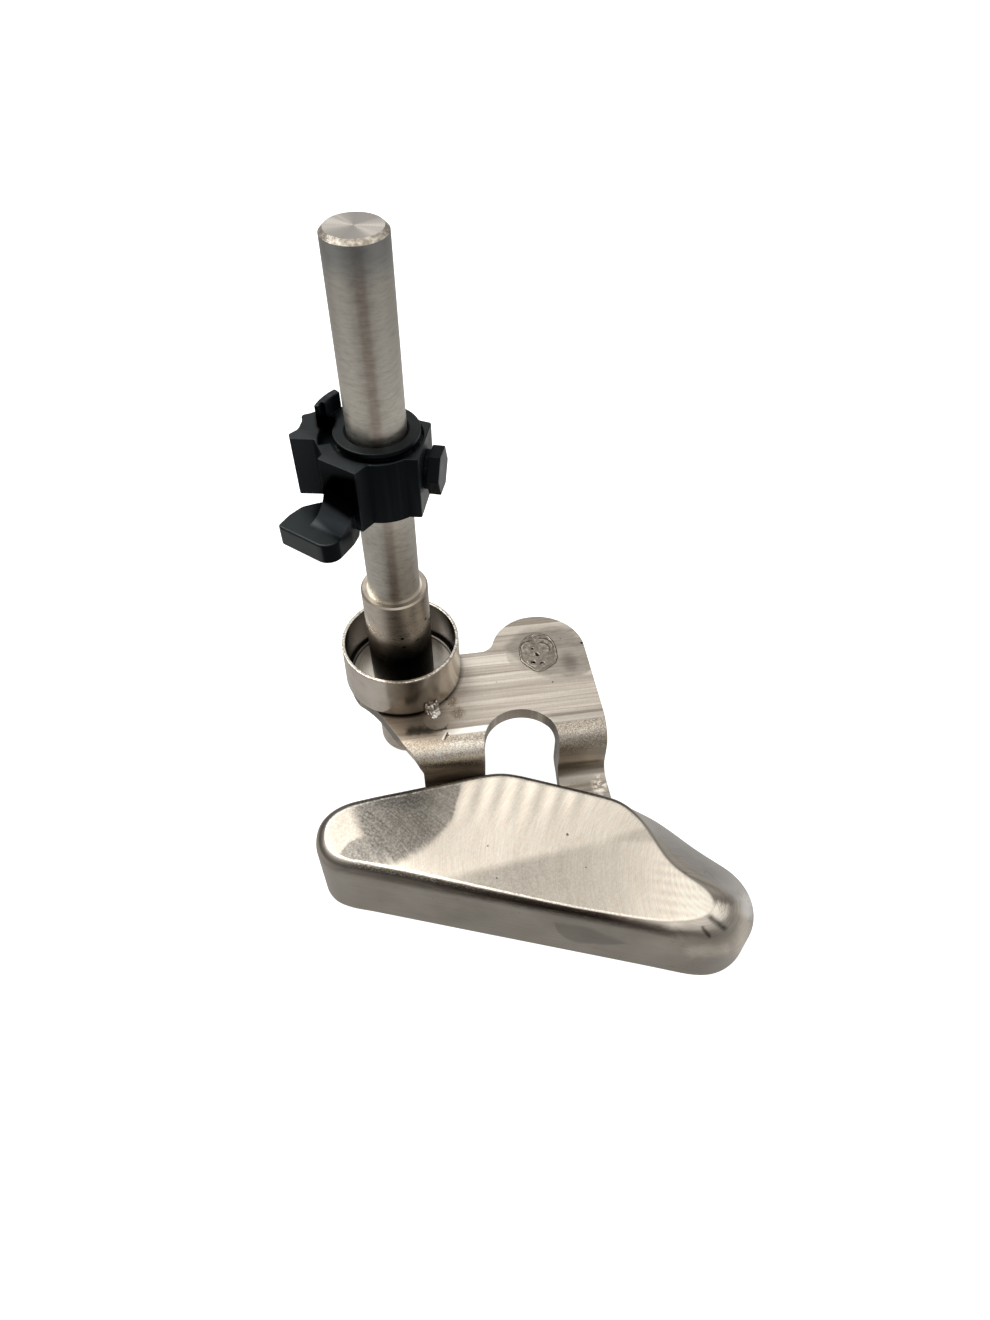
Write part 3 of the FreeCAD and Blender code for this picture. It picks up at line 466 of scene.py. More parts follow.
def cup_steel():
    mat = Paint("cup_drawn_steel")
    z = mat.place[2]
    axis = mat.polar()
    radius = axis.radius
    fine = mat.around(axis, turn=0.9, along=3.0, rough=0.65)
    cloud = mat.noise(0.10, detail=4.0)
    mat.base = mat.ramp(cloud, (0.3, 176, 167, 156), (0.55, 196, 188, 178),
                        (0.8, 206, 199, 190))
    # floor of the cup: turned rings, bright, with painted shade in the groove round it
    rings = mat.grain(radius * 3.2, axis.angle * 0.4, 0.0, detail=4.0, rough=0.65)
    inside = radius.rise(z.linear(0.0, 16.9, 18.95, 18.6), z.linear(0.0, 16.9, 18.9, 18.55))
    cup_floor = z.rise(1.6, 1.3) * radius.rise(17.5, 17.2)
    mat.tint(cup_floor, mat.ramp(rings, (0.3, 190, 182, 172), (0.6, 236, 230, 220)))
    groove_shade = radius.rise(17.0, 17.3) * (inside * z.fall(2.5, 3.4))
    mat.tint(groove_shade, (34, 31, 28), amount=0.9)
    # painted shade on the inner wall and the floor, varying round the cup
    wall = inside * z.rise(2.2, 3.4)
    turn = axis.angle.linear(-math.pi, math.pi)
    mat.shade(wall.pick(1.0, turn.curve(
        (0.0, 0.50), (0.25, 0.3), (0.45, 0.10), (0.58, 0.10), (0.66, 0.30),
        (0.85, 0.42), (1.0, 0.40))))
    mat.shade(cup_floor.pick(1.0, turn.curve(
        (0.0, 0.85), (0.35, 0.60), (0.55, 0.55), (0.8, 0.8), (1.0, 0.85))))
    # burr along the rim, bright with painted highlights
    rim = z.rise(16.45, 16.75)
    burr_and_highlight = mat.grain(axis.cosine * 26.0, axis.sine * 26.0, radius * 1.0,
                     detail=4.0, rough=0.75)
    mat.tint(rim, mat.ramp(burr_and_highlight, (0.38, 150, 140, 128), (0.52, 225, 216, 202),
                           (0.6, 255, 252, 244)), amount=0.9)
    # painted reflections: upright bands of light and shade on the outer wall
    outer = (1.0 - inside) * z.rise(16.4, 16.0)
    mat.shade(outer.pick(1.0, axis.angle.linear(-math.pi, 0.0).curve(
        (0.12, 1.0), (0.27, 1.15), (0.36, 1.22), (0.43, 1.15), (0.475, 0.75), (0.53, 0.34),
        (0.60, 0.46), (0.67, 0.68), (0.72, 1.15), (0.78, 1.6), (0.90, 1.3))))
    stain = mat.around(axis, turn=3.0, along=0.12).rise(0.60, 0.74)
    mat.tint(stain, (120, 104, 90), amount=0.25)
    heat = mat.spots([(7.4, -18.0, 2.0, 4.2)], soft=0.8, wobble=2.0, scale=0.5)
    mat.tint(heat, (138, 118, 98), amount=0.5)
    height = fine * 0.4 + rim * burr_and_highlight * 2.5
    return mat.finish(Roughness=cloud.linear(0.3, 0.7, 0.15, 0.24) + cup_floor * 0.10,
                      Normal=mat.bump(height, strength=0.16, distance=0.08))


def arm_light(mat, sight, top):
    """Painted light and shade across the plate and down its bend."""
    x, y, z = mat.place
    right, down = sight
    axis = mat.polar()
    angle = axis.angle
    shadow = polygon(sight, [(503, 647), (522, 630), (560, 626), (592, 645),
                             (598, 668), (575, 677), (545, 678), (520, 662)],
                     soft=[3.0, 6.0, 8.0, 4.0, 2.0, 2.0, 3.0, 3.0])
    glint = disc(sight, (600, 785), (7, 9), soft=0.5)
    glint = glint * mat.noise(0.5, rough=0.7).rise(0.44, 0.58)
    # painted shade in the gap under the cup, deepest at the front left
    cup_gap_shade = axis.radius.rise(21.4, 19.8) * top
    cup_gap_shade = cup_gap_shade * (angle.rise(-2.62, -2.2) * angle.rise(-1.25, -1.42)).max(
        0.55 * angle.rise(-1.1, -0.8))
    cup_shade = axis.radius.rise(26.0, 20.5) * (top * angle.rise(-0.2, -1.4, 0.35, 1.0))
    return gain(
        y.linear(-6.0, 16.0, 1.03, 0.97),
        (top * (z.rise(-3.0, -1.0) * shadow), 0.70),
        (top * disc(sight, (571, 665), (7, 6), soft=0.6), 0.72),
        (z.rise(-19.5, -21.0) * x.rise(40.0, 46.0), 0.52),
        (down.rise(752.0, 762.0) * (down.rise(784.0, 772.0) * x.rise(44.0, 48.0)), 1.9),
        (down.rise(738.0, 744.0) * down.rise(766.0, 758.0) * x.rise(34.0, 30.0), 1.7),
        (down.rise(768.0, 774.0) * down.rise(800.0, 790.0) * x.rise(34.0, 30.0), 0.62),
        (x.rise(44.0, 48.0) * (y.rise(-24.5, -27.0) * y.rise(-31.5, -29.5)), 0.70),
        (glint * z.rise(-12.0, -14.0), 2.6),
        (cup_gap_shade, 0.16),
        (cup_shade, 0.66))


def arm_weld_marks(mat, sight, top, soot_noise):
    """Soot and heat marks round the tack weld."""
    wavy = mat.sight(wobble=7.0, scale=0.6)
    soot = stroke(wavy, (410, 731), (432, 730), radius=4.0, soft=3.5).max(
        stroke(wavy, (436, 731), (446, 728), radius=1.2, soft=1.2))
    mat.tint(soot * soot_noise.rise(0.26, 0.44),
             mat.ramp(soot_noise, (0.4, 40, 42, 36), (0.8, 92, 90, 78)), amount=0.92)
    brown = disc(wavy, (458, 713), (6.5, 5.5), soft=0.5).max(
        disc(wavy, (453, 702), (4.0, 5.0), soft=0.5))
    mat.tint(brown * soot_noise.rise(0.36, 0.56), (98, 78, 54), amount=0.75)
    # pale halo with a thin dark line round its lower side
    centre = (436, 721)
    mat.tint(disc(sight, centre, (13, 9), soft=0.12) * top, (168, 160, 149), amount=0.55)
    ring = disc(sight, centre, (13.6, 9.6), soft=0.05) * (
        1.0 - disc(sight, centre, (12.6, 8.6), soft=0.05))
    mat.tint(ring * sight[1].rise(722.0, 725.0), (60, 52, 44), amount=0.55)


def arm_steel():
    mat = Paint("arm_milled_steel")
    x, y, z = mat.place
    face_y, face_z = mat.facing[1:]
    # cutter passes parallel to X with uneven pitch
    wave = (mat.grain(x * 0.03, y * 0.6, 0.0, detail=2.0, rough=0.5) - 0.5) * 1.6
    pass_y = y + (wave + x * 0.012)
    pass_number = ((pass_y + 1.4) / 4.3).math("FLOOR")
    passes = mat.out("ShaderNodeTexWhiteNoise", {"Vector": mat.vec(pass_number, 3.0, 1.0)},
                     output="Value", noise_dimensions="3D")
    lines = mat.grain(x * 0.010, pass_y * 0.85, 7.0)
    fine = mat.grain(x * 0.16, y * 8.0, z * 8.0)
    # short cross hatching
    hatch = mat.grain((x - y * 0.55) * 2.6, y * 0.5, 0.0, rough=0.7)
    lit = (passes - 0.5) * 0.46 + (lines - 0.5) * 0.75
    lit = lit + ((fine - 0.5) * 0.28 + (hatch - 0.5) * 0.24)
    mat.base = mat.ramp(lit + 0.5, (0.15, 148, 138, 127), (0.42, 186, 177, 166),
                        (0.62, 214, 206, 194), (0.9, 238, 231, 219))
    # painted highlight and painted shade as lines where the bend starts, then speckle round
    # it
    top = face_z.rise(0.55, 0.85)
    bend_highlight_line = y.rise(-27.0, -27.6) * y.rise(-29.9, -29.1)
    fade = x.rise(8.0, 13.0) * (0.22 + x.rise(30.0, 22.0, 0.0, 0.78))
    mat.tint(bend_highlight_line * fade, (255, 252, 244), amount=0.95)
    mat.tint(y.rise(-26.2, -26.7) * y.rise(-27.6, -27.1), (150, 136, 120), amount=0.45)
    bend = y.rise(-29.6, -30.3) * z.rise(-10.5, -8.6)
    speckle = mat.voronoi(3.2, mat.vec(x * 1.0, y * 1.25, z * 1.25), output="Color").red()
    mat.tint(bend, mat.ramp(speckle, (0.1, 118, 104, 88), (0.45, 176, 166, 152),
                            (0.72, 216, 205, 186), (0.95, 248, 240, 226)), amount=0.50)
    # brown tones low on the riser, and painted shade in the hollow bend
    riser = z.rise(-7.6, -9.6) * z.rise(-21.5, -19.5)
    riser_lines = mat.grain(x * 0.05, z * 1.1, 0.0)
    mat.tint(riser, mat.ramp(riser_lines, (0.3, 84, 74, 62), (0.55, 128, 116, 102),
                             (0.8, 176, 164, 148)), amount=0.55)
    mat.tint(z.rise(-14.0, -17.0) * z.rise(-21.6, -20.4), (70, 62, 52), amount=0.55)
    # tinted metal beside the tack weld, and small dark dots
    heat = mat.spots([(4.0, -26.0, 0.0, 9.0), (-2.0, -22.0, 0.0, 8.0)],
                     soft=0.55, wobble=5.0, scale=0.12)
    mat.tint(heat * top, (132, 112, 90), amount=0.50)
    soot_noise = mat.noise(2.2, detail=4.0, rough=0.75)
    dots = mat.spots([(13.3, -14.9, 0.0, 0.25), (13.6, -16.9, 0.0, 0.22),
                      (50.2, -12.6, 0.0, 0.28), (56.9, 6.8, 0.0, 0.30),
                      (64.0, 3.6, 0.0, 0.5), (31.0, -9.8, 0.0, 0.16)], soft=0.25)
    mat.tint(dots, (38, 32, 27))
    # matt patch round the plug weld, a heat spot beside it
    patch = mat.spots([(52.0, 0.5, 0.0, 9.8), (58.5, -3.5, 0.0, 8.0),
                       (44.5, 1.5, 0.0, 8.3), (54.5, 5.0, 0.0, 8.2)],
                      soft=0.06, wobble=0.8, scale=0.3)
    patch_lines = mat.grain(x * 0.25, y * 0.9, 0.0)
    mat.tint(patch * top, mat.ramp(patch_lines, (0.3, 150, 142, 132), (0.7, 182, 174, 164)),
             amount=0.62)
    hot = mat.spots([(57.6, -2.8, 0.0, 2.6)], soft=0.8, wobble=1.2, scale=0.6)
    mat.tint(hot, (104, 97, 90), amount=0.45)
    # gouge across the bend line, with a raised lip that carries a painted highlight
    wavy = mat.sight(wobble=1.2, scale=1.5)
    gouge = stroke(wavy, (447.5, 733), (445, 739.5), radius=0.7, soft=0.5).max(
        stroke(wavy, (449, 735), (446, 736), radius=0.6, soft=0.5))
    gouge_lip_and_highlight = stroke(wavy, (446, 733), (442.5, 739), radius=0.8, soft=0.6).max(
        stroke(wavy, (450, 732), (449, 737), radius=0.5, soft=0.5)) * (1.0 - gouge)
    mat.tint(gouge_lip_and_highlight, (255, 250, 240), amount=0.7)
    mat.tint(gouge, (70, 56, 42))
    # sawn side walls with painted shade on them, except those that face the front
    wall = abs(face_z).rise(0.5, 0.15) * face_y.rise(-0.8, -0.55) * 1.0
    sawn = mat.grain(x * 0.6, y * 0.6, z * 3.0)
    mat.tint(wall, mat.ramp(sawn, (0.3, 66, 61, 56), (0.7, 108, 102, 95)), amount=0.8)

    sight = mat.sight(wobble=3.0, scale=0.25)
    mat.shade(arm_light(mat, sight, top))
    arm_weld_marks(mat, sight, top, soot_noise)

    height = fine * 0.5 + (hatch * 0.35 + bend * speckle * 1.2)
    height = height + (gouge * -5.0 + gouge_lip_and_highlight * 2.0)
    normal = mat.bump(height, strength=0.22, distance=0.09, normal=mat.bevel(0.30))
    return mat.finish(Roughness=patch.pick(lines.linear(0.3, 0.7, 0.30, 0.42), 0.5),
                      Anisotropic=0.5, Tangent=mat.vec(1.0, 0.0, 0.0), Normal=normal)


# Foot axes: "along" runs down the length of the block, "across" over it.
# The cutter left arcs of one radius, moved along the block.
FOOT_TURN = math.radians(-20.3)
CUTTER_OFFSET = 52.0
CUTTER_RADIUS = 46.0


def foot_top_light(mat, sight):
    """Painted light and shade across the flat top."""
    right, down = sight
    light = right.linear(320.0, 700.0).curve(
        (0.0, 0.44), (0.10, 0.50), (0.28, 0.84), (0.6, 0.88), (0.8, 0.90), (1.0, 1.12))
    # painted dark reflections: a wedge and a lobe
    wedge = polygon(sight, [(351, 806), (372, 794), (463, 780), (452, 821),
                            (437, 839), (395, 865), (364, 842)],
                    soft=[6.0, 4.0, 1.6, 4.0, 6.0, 7.0, 7.0])
    lobe = polygon(sight, [(339, 854), (347, 844), (357, 838), (370, 834),
                           (398, 866), (372, 867), (350, 866)],
                   soft=[1.6, 1.6, 2.0, 6.0, 6.0, 4.0, 3.0])
    light = gain(light,
                 (wedge, 0.25),
                 (disc(sight, (400, 799), (26, 9), soft=0.7), 0.55),
                 (lobe * (1.0 - wedge * 0.9), 0.36))
    # curved cutter strokes in the painted dark reflection, and its lighter right side
    drop = down - 800.0
    swept = right - drop * 1.54 + drop * drop * 0.00764
    strokes = mat.grain(swept * 0.42, down * 0.025, 0.0)
    light = light * (1.0 + wedge.max(lobe) * ((strokes - 0.5) * 2.2))
    light = light * (1.0 + wedge * (right.rise(418.0, 450.0) * 0.45))
    light = gain(light,
                 (disc(sight, (371, 850), (12, 9), soft=0.8), 0.72),
                 (disc(sight, (388, 868), (15, 8), soft=0.7), 1.40))
    # painted shade in a band along the front edge
    below = down - (873.0 + (right - 470.0) * -0.234)
    band = below.rise(-6.0, 5.0) * right.rise(425.0, 445.0)
    light = light * band.pick(1.0, right.linear(430.0, 700.0).curve(
        (0.0, 0.74), (0.2, 0.52), (0.35, 0.52), (0.5, 0.68), (0.65, 0.80), (0.8, 1.0),
        (1.0, 1.3)))
    corner = right.rise(600.0, 636.0) * (down.rise(846.0, 838.0) * below.rise(-8.0, 0.0))
    light = gain(light, (corner, 0.75))
    # painted reflection: a fan of bright rays along the back edge
    slanted = right + (down - 780.0) * 0.30
    fan = stripes(slanted - 465.5, pitch=21.0)
    fan_mask = (down.rise(832.0, 796.0) * slanted.rise(462.0, 467.0)
                * slanted.rise(615.0, 570.0))
    light = light * (1.0 + fan_mask * fan * 0.22)
    # faint stripes of painted light towards the right tip
    level = stripes(down + right * -0.16, pitch=9.5)
    level_mask = right.rise(640.0, 668.0) * right.rise(712.0, 700.0) * down.rise(850.0, 866.0)
    return light * (1.0 + level_mask * level * 0.07)


def foot_wall_light(mat, sight, depth, front, along):
    """Painted light and shade down the side walls, with a drawn-out swirl of painted
    reflection on the right end.
    """
    x = mat.place[0]
    face_x, face_y = mat.facing[:2]
    right = sight[0]
    loose = mat.sight(wobble=9.0, scale=0.35)
    tight = mat.sight(wobble=3.0, scale=0.9)
    light = gain(
        1.0,
        (depth.rise(1.0, 3.0) * front, 0.72),
        (depth.rise(1.0, 3.0) * (face_x.rise(-0.3, -0.7) * (1.0 - front)), 0.80),
        (x.rise(40.0, 60.0) * (face_y.rise(-0.3, 0.2) * depth.rise(0.4, 1.6)), 1.25),
        (right.rise(640.0, 690.0) * depth.rise(0.3, 1.5), 0.95),
        (stroke(tight, (711, 918), (724, 928), radius=2.0, soft=3.0), 0.28),
        (stroke(tight, (703, 928), (709, 936), radius=1.2, soft=2.2), 0.30),
        (stroke(loose, (702, 892), (729, 901), radius=3.0, soft=5.0), 0.58),
        (stroke(loose, (672, 922), (700, 916), radius=3.0, soft=4.0), 1.25),
        (disc(loose, (719.5, 911), (7.5, 8.0), soft=0.7), 2.1),
        (stroke(loose, (742, 950), (748, 900), radius=4.0, soft=9.0), 1.6),
        (stroke(loose, (690, 952), (726, 950), radius=3.0, soft=7.0), 1.45))
    swirl = mat.polar(78.0, -93.0)
    rings = mat.grain(swirl.radius * 3.4, swirl.angle * 0.8, 0.0, rough=0.7)
    light = light * (1.0 + right.rise(655.0, 690.0) * depth.rise(7.0, 3.0)
                     * ((rings - 0.5) * 1.1))
    return gain(
        light,
        (depth.rise(0.0, 0.08) * depth.rise(1.7, 0.9) * along.rise(88.0, 78.0), 0.42),
        (disc(loose, (690, 944), (36, 12), soft=0.7) * depth.rise(2.0, 4.0), 1.25),
        (disc(loose, (738, 922), (16, 38), soft=0.7) * depth.rise(0.5, 2.0), 1.40),
        (x.rise(40.0, 60.0) * (face_y.rise(-0.3, 0.2) * depth.rise(0.4, 1.6)), 1.0))


def foot_steel():
    mat = Paint("foot_machined_steel")
    x, y, z = mat.place
    sight = mat.sight(wobble=2.5, scale=0.3)
    right, down = sight
    top = z.rise(FOOT_TOP - 0.18, FOOT_TOP - 0.02)
    cosine, sine = math.cos(FOOT_TURN), math.sin(FOOT_TURN)
    along = x * cosine + y * sine
    across = x * -sine + y * cosine
    swing = across + CUTTER_OFFSET
    square = CUTTER_RADIUS * CUTTER_RADIUS
    arc_place = along + (square - swing * swing).max(1.0).sqrt()
    arcs = mat.grain(arc_place * 3.2, swing * 0.10, 0.0, detail=4.0, rough=0.7)
    cross_arcs = mat.grain((along - swing * 0.62) * 2.8, swing * 0.14, 4.0,
                           detail=4.0, rough=0.7)

    # flat top
    wide = mat.grain(arc_place * 0.16, swing * 0.02, 2.0, rough=0.55)
    mottle = mat.noise(0.35, detail=4.0)
    lit = (arcs - 0.5) * 0.62 + ((cross_arcs - 0.5) * 0.34 + (wide - 0.5) * 0.22)
    lit = lit + (mottle - 0.5) * 0.10
    mat.base = mat.ramp(lit + 0.5, (0.18, 170, 158, 144), (0.40, 214, 203, 188),
                        (0.60, 238, 229, 215), (0.85, 255, 250, 240))
    mat.tint(mat.noise(0.55).rise(0.45, 0.7), (242, 214, 188), amount=0.30)
    # scallops near the right tip
    tip = mat.polar(86.5, -88.5).radius
    scallops = stripes(tip, pitch=1.55)
    tip_mask = tip.rise(21.0, 12.0) * tip.rise(5.0, 7.5)
    mat.tint(tip_mask * scallops.rise(0.1, 1.0), (255, 253, 248), amount=0.14)
    mat.tint(tip_mask * scallops.rise(-0.1, -1.0), (176, 168, 158), amount=0.16)
    # pits and fine bright grains
    pits = mat.voronoi(0.12, mat.vec(x, y, 0.0)).rise(0.035, 0.02) * 1.0
    pits = pits.max(mat.spots([(44.4, -67.4, FOOT_TOP, 0.45), (19.4, -67.6, FOOT_TOP, 0.28),
                               (47.6, -79.2, FOOT_TOP, 0.22), (20.5, -78.6, FOOT_TOP, 0.3)],
                              soft=0.3))
    mat.tint(pits, (84, 76, 68))
    mat.tint(mat.voronoi(1.5).rise(0.16, 0.08), (255, 255, 252), amount=0.18)
    mat.shade(foot_top_light(mat, sight))
    top_colour = mat.base

    # edge rounding and side walls
    cloud = mat.noise(0.05, detail=4.0, rough=0.55)
    brush = mat.grain(along * 0.05, across * 0.05, z * 3.0, detail=4.0, rough=0.65)
    mat.base = mat.ramp(cloud * 0.7 + brush * 0.3, (0.3, 158, 150, 139),
                        (0.5, 182, 174, 163), (0.7, 200, 193, 183))
    depth = FOOT_TOP - z
    front = mat.facing[1].rise(-0.25, -0.5)
    # speckled band of painted highlights on the rounding
    spark = mat.grain(along * 1.2, across * 1.2, z * 6.0, detail=4.0, rough=0.75)
    highlight_and_scratch_band = depth.rise(0.05, 0.25) * depth.rise(1.3, 0.7)
    highlight_and_scratch_band = highlight_and_scratch_band * (along.rise(84.0, 74.0) * x.rise(-27.0, -18.0))
    mat.tint(highlight_and_scratch_band, mat.ramp(spark, (0.36, 84, 74, 65), (0.52, 148, 137, 124),
                                  (0.66, 255, 250, 242)), amount=0.85)
    # cooler flank towards the back right, brown lip at its top
    flank = ((x - 63.0) * 0.80 + (y + 62.0) * 0.60).rise(0.0, 3.0)
    lip = depth.rise(0.02, 0.12) * depth.rise(0.42, 0.3)
    mat.tint(flank * lip, (128, 114, 98), amount=0.75)
    mat.tint(flank * depth.rise(0.45, 1.6),
             mat.ramp(cloud, (0.3, 168, 167, 166), (0.7, 192, 191, 190)), amount=0.7)
    # painted dark reflection under the front rounding: a brown line and dark streaks
    line = depth.rise(1.2, 2.2) * depth.rise(5.6, 3.2) * (front * x.rise(-34.0, -12.0))
    mat.tint(line * x.rise(78.0, 64.0),
             mat.ramp(brush, (0.3, 58, 47, 39), (0.6, 104, 88, 75), (0.8, 150, 134, 118)),
             amount=0.25)
    below = down - (884.0 + (right - 430.0) * 0.195)
    streak = mat.grain(along * 0.35, across * 0.35, z * 5.0, detail=4.0, rough=0.7)
    dark = abs(below + (streak - 0.5) * 5.0).rise(8.0, 2.5) * (
        right.rise(322.0, 345.0) * (right + (streak - 0.5) * 40.0).rise(688.0, 652.0))
    strength = right.linear(330.0, 690.0).curve(
        (0.0, 0.3), (0.25, 0.55), (0.4, 0.88), (0.6, 0.95), (0.8, 0.92), (0.92, 0.7),
        (1.0, 0.4))
    mat.tint(dark * strength, mat.ramp(streak, (0.3, 44, 34, 29), (0.55, 70, 57, 49),
                                       (0.75, 128, 112, 98)))
    mat.shade(foot_wall_light(mat, sight, depth, front, along))
    # matt ledge low on the front right
    ledge = polygon(sight, [(551, 912), (556, 930), (565, 938), (578, 943), (612, 945),
                            (655, 942), (663, 938), (630, 933), (598, 928), (570, 920)],
                    soft=[1.2, 1.2, 1.2, 1.2, 1.2, 1.5, 2.5, 2.5, 2.5, 2.5]) * front
    mat.tint(ledge, (112, 110, 98), amount=0.35)
    mat.shade(gain(1.0, (ledge, 0.84)))
    # scattered scratches
    scratch = mat.voronoi(1.0, mat.vec((along + z * 1.3) * 0.12, (z - along * 0.25) * 1.1,
                                       across * 0.1), feature="DISTANCE_TO_EDGE")
    scattered = mat.noise(0.12, detail=2.0, rough=0.5).rise(0.50, 0.62)
    mat.tint(scratch.rise(0.020, 0.006) * scattered, (92, 84, 76), amount=0.45)
    mat.tint(mat.facing[2].rise(-0.5, -0.9),
             mat.ramp(arcs, (0.3, 150, 142, 132), (0.7, 205, 197, 186)), amount=0.8)

    mat.tint(top, top_colour)
    # crisp painted highlight along the border where the flat top ends
    rim = depth.rise(-0.005, 0.01) * depth.rise(0.10, 0.05)
    mat.tint(rim * spark.rise(0.4, 0.65, 0.1, 0.6), (255, 253, 246))
    height = top * (arcs * 0.6 + cross_arcs * 0.4)
    height = height + (1.0 - top) * (brush * 0.35 + highlight_and_scratch_band * spark * 0.9)
    height = height + tip_mask * scallops * (top * 0.16)
    height = height - pits * 2.0
    tangent = mat.vec(swing / CUTTER_RADIUS,
                      (1.0 - swing * swing / square).max(0.01).sqrt(), 0.0)
    rough = top.pick(cloud.linear(0.35, 0.65, 0.27, 0.36), arcs.linear(0.3, 0.7, 0.30, 0.42))
    return mat.finish(Roughness=rough, Anisotropic=top * 0.6, Tangent=tangent,
                      Normal=mat.bump(height, strength=0.20, distance=0.08))


def weld_steel():
    mat = Paint("weld_bead_steel")
    grain = mat.noise(1.1, detail=4.0)
    mat.base = mat.ramp(grain, (0.3, 150, 141, 130), (0.5, 206, 200, 192),
                        (0.7, 245, 242, 236))
    mat.tint(mat.noise(0.6).rise(0.58, 0.70), (150, 116, 78), amount=0.5)
    sight = mat.sight(wobble=1.0, scale=0.8)
    slit = stroke(sight, (428.5, 711), (431, 717), radius=0.9, soft=0.8).max(
        stroke(sight, (434, 705), (435, 709), radius=0.5, soft=0.6))
    mat.tint(slit, mat.ramp(grain, (0.3, 44, 26, 16), (0.7, 112, 72, 40)), amount=0.9)
    mat.tint(mat.voronoi(1.1).rise(0.07, 0.04), (48, 40, 34), amount=0.5)
    return mat.finish(Roughness=grain.linear(0.3, 0.7, 0.16, 0.32),
                      Normal=mat.bump(grain, strength=0.25, distance=0.2))


def plug_steel():
    mat = Paint("plug_weld_steel")
    grain = mat.noise(0.8, detail=4.0)
    mat.base = mat.ramp(grain, (0.3, 112, 105, 96), (0.55, 140, 133, 123),
                        (0.8, 172, 165, 155))
    pits = mat.spots([(46.0, 3.2, 0.1, 0.42), (47.2, 0.1, 0.1, 0.55), (45.1, -3.2, 0.1, 0.72),
                      (48.2, -4.0, 0.1, 0.68), (46.9, 0.7, 0.1, 0.4)],
                     soft=0.3, wobble=0.5, scale=2.0)
    # painted shade just outside the edge of each frozen ripple, painted light just inside it
    for centre_x, centre_y, edge, start, end, _ in PLUG_RIPPLES[:TONED_RIPPLES]:
        ripple = mat.polar(centre_x, centre_y)
        middle = math.radians((start + end) / 2.0)
        half = (end - start) / 2.0
        # cosine of the angle from the middle of the arc
        nearness = ripple.cosine * math.cos(middle) + ripple.sine * math.sin(middle)
        arc = nearness.rise(math.cos(math.radians(half)), math.cos(math.radians(half - 22.0)))
        radius = ripple.radius + (mat.noise(0.7, detail=2.0, rough=0.5) - 0.5) * 0.5
        outside = radius.rise(edge - 0.10, edge + 0.12) * radius.rise(edge + 0.75, edge + 0.2)
        within = radius.rise(edge - 0.7, edge - 0.25) * radius.rise(edge + 0.05, edge - 0.12)
        mat.shade(gain(1.0, (arc * outside, 0.42)))
        mat.shade(gain(1.0, (arc * within, 1.45)))
    mat.tint(pits, (16, 13, 11))
    return mat.finish(Roughness=grain.linear(0.3, 0.7, 0.28, 0.42),
                      Normal=mat.bump(grain, strength=0.12, distance=0.1))


def black_plastic(name, colour, dust, rough, gloss_up=0.30):
    """gloss_up is the specular level of faces that look up."""
    mat = Paint(name)
    z = mat.place[2]
    face_x, face_y, face_z = mat.facing
    soft = mat.noise(0.16, rough=0.5)
    fine = mat.noise(6.0)
    darker = [channel * 0.80 for channel in colour]
    lighter = [min(255, channel * 1.20) for channel in colour]
    mat.base = mat.ramp(soft * 0.75 + fine * 0.25, (0.3, *darker), (0.7, *lighter))
    dusty = mat.noise(0.20, detail=2.0, rough=0.5).rise(0.55, 0.66)
    specks = mat.voronoi(0.55).rise(0.060, 0.035) * dusty
    mat.tint(specks, (150, 152, 154), amount=dust)
    # slightly paler edges: partly wear, partly painted highlight
    pointiness = mat.out("ShaderNodeNewGeometry", output="Pointiness")
    mat.tint(pointiness.rise(0.54, 0.62), (78, 82, 88), amount=0.15)
    normal = mat.bump(fine + soft * 0.6, strength=0.06, distance=0.12,
                      normal=mat.bevel(0.35))
    # gloss set by facing, standing in for light and shade: fuller on faces that look up, thin
    # on those that look out
    gloss = face_z.rise(0.1, 0.8).pick(0.05, gloss_up)
    left = face_x.rise(-0.25, -0.5) * (face_y.rise(-0.3, -0.6) * face_z.rise(0.5, 0.2))
    left_high = left * z.rise(80.3, 81.5)
    gloss = left_high.pick(gloss, 0.03)
    gloss = (left * z.rise(80.2, 79.0)).pick(gloss, 0.60)
    gloss = face_x.rise(0.7, 0.9).pick(gloss, 0.7)
    # painted shade: two recesses on the left are painted dark, and a dim patch below them
    sight = mat.sight(wobble=1.0, scale=0.5)
    recess_shade = polygon(sight, [(331, 474), (356, 479), (360, 511), (351, 521), (322, 502),
                           (319, 493)], soft=3.5) * face_y.rise(0.5, 0.0)
    recess_shade = recess_shade.max(polygon(sight, [(315, 414), (337, 416), (336, 427), (326, 432),
                                    (316, 428)], soft=2.5))
    gloss = recess_shade.pick(gloss, 0.0)
    dim = polygon(sight, [(318, 500), (352, 510), (355, 538), (342, 545), (327, 534),
                          (311, 516)], soft=6.0) * z.rise(84.0, 80.0)
    gloss = gloss * (1.0 - dim * 0.92)
    mat.shade(recess_shade.pick(1.0, 0.05))
    # painted shade on the faces that look left, high up
    mat.shade((left * z.rise(80.3, 81.5)).pick(1.0, 0.35))
    roughness = soft.linear(0.3, 0.7, rough - 0.05, rough + 0.06) + specks * 0.3
    return mat.finish(Metallic=0.0, Roughness=roughness, Specular_IOR_Level=gloss,
                      Specular_Tint=(0.84, 0.96, 1.0, 1.0), Normal=normal)


def spring_steel():
    mat = Paint("spring_steel_dark")
    grain = mat.noise(1.5)
    mat.base = mat.ramp(grain, (0.3, 70, 70, 72), (0.7, 112, 111, 110))
    return mat.finish(Roughness=grain.linear(0.3, 0.7, 0.25, 0.4),
                      Normal=mat.bump(grain, strength=0.1, distance=0.05))


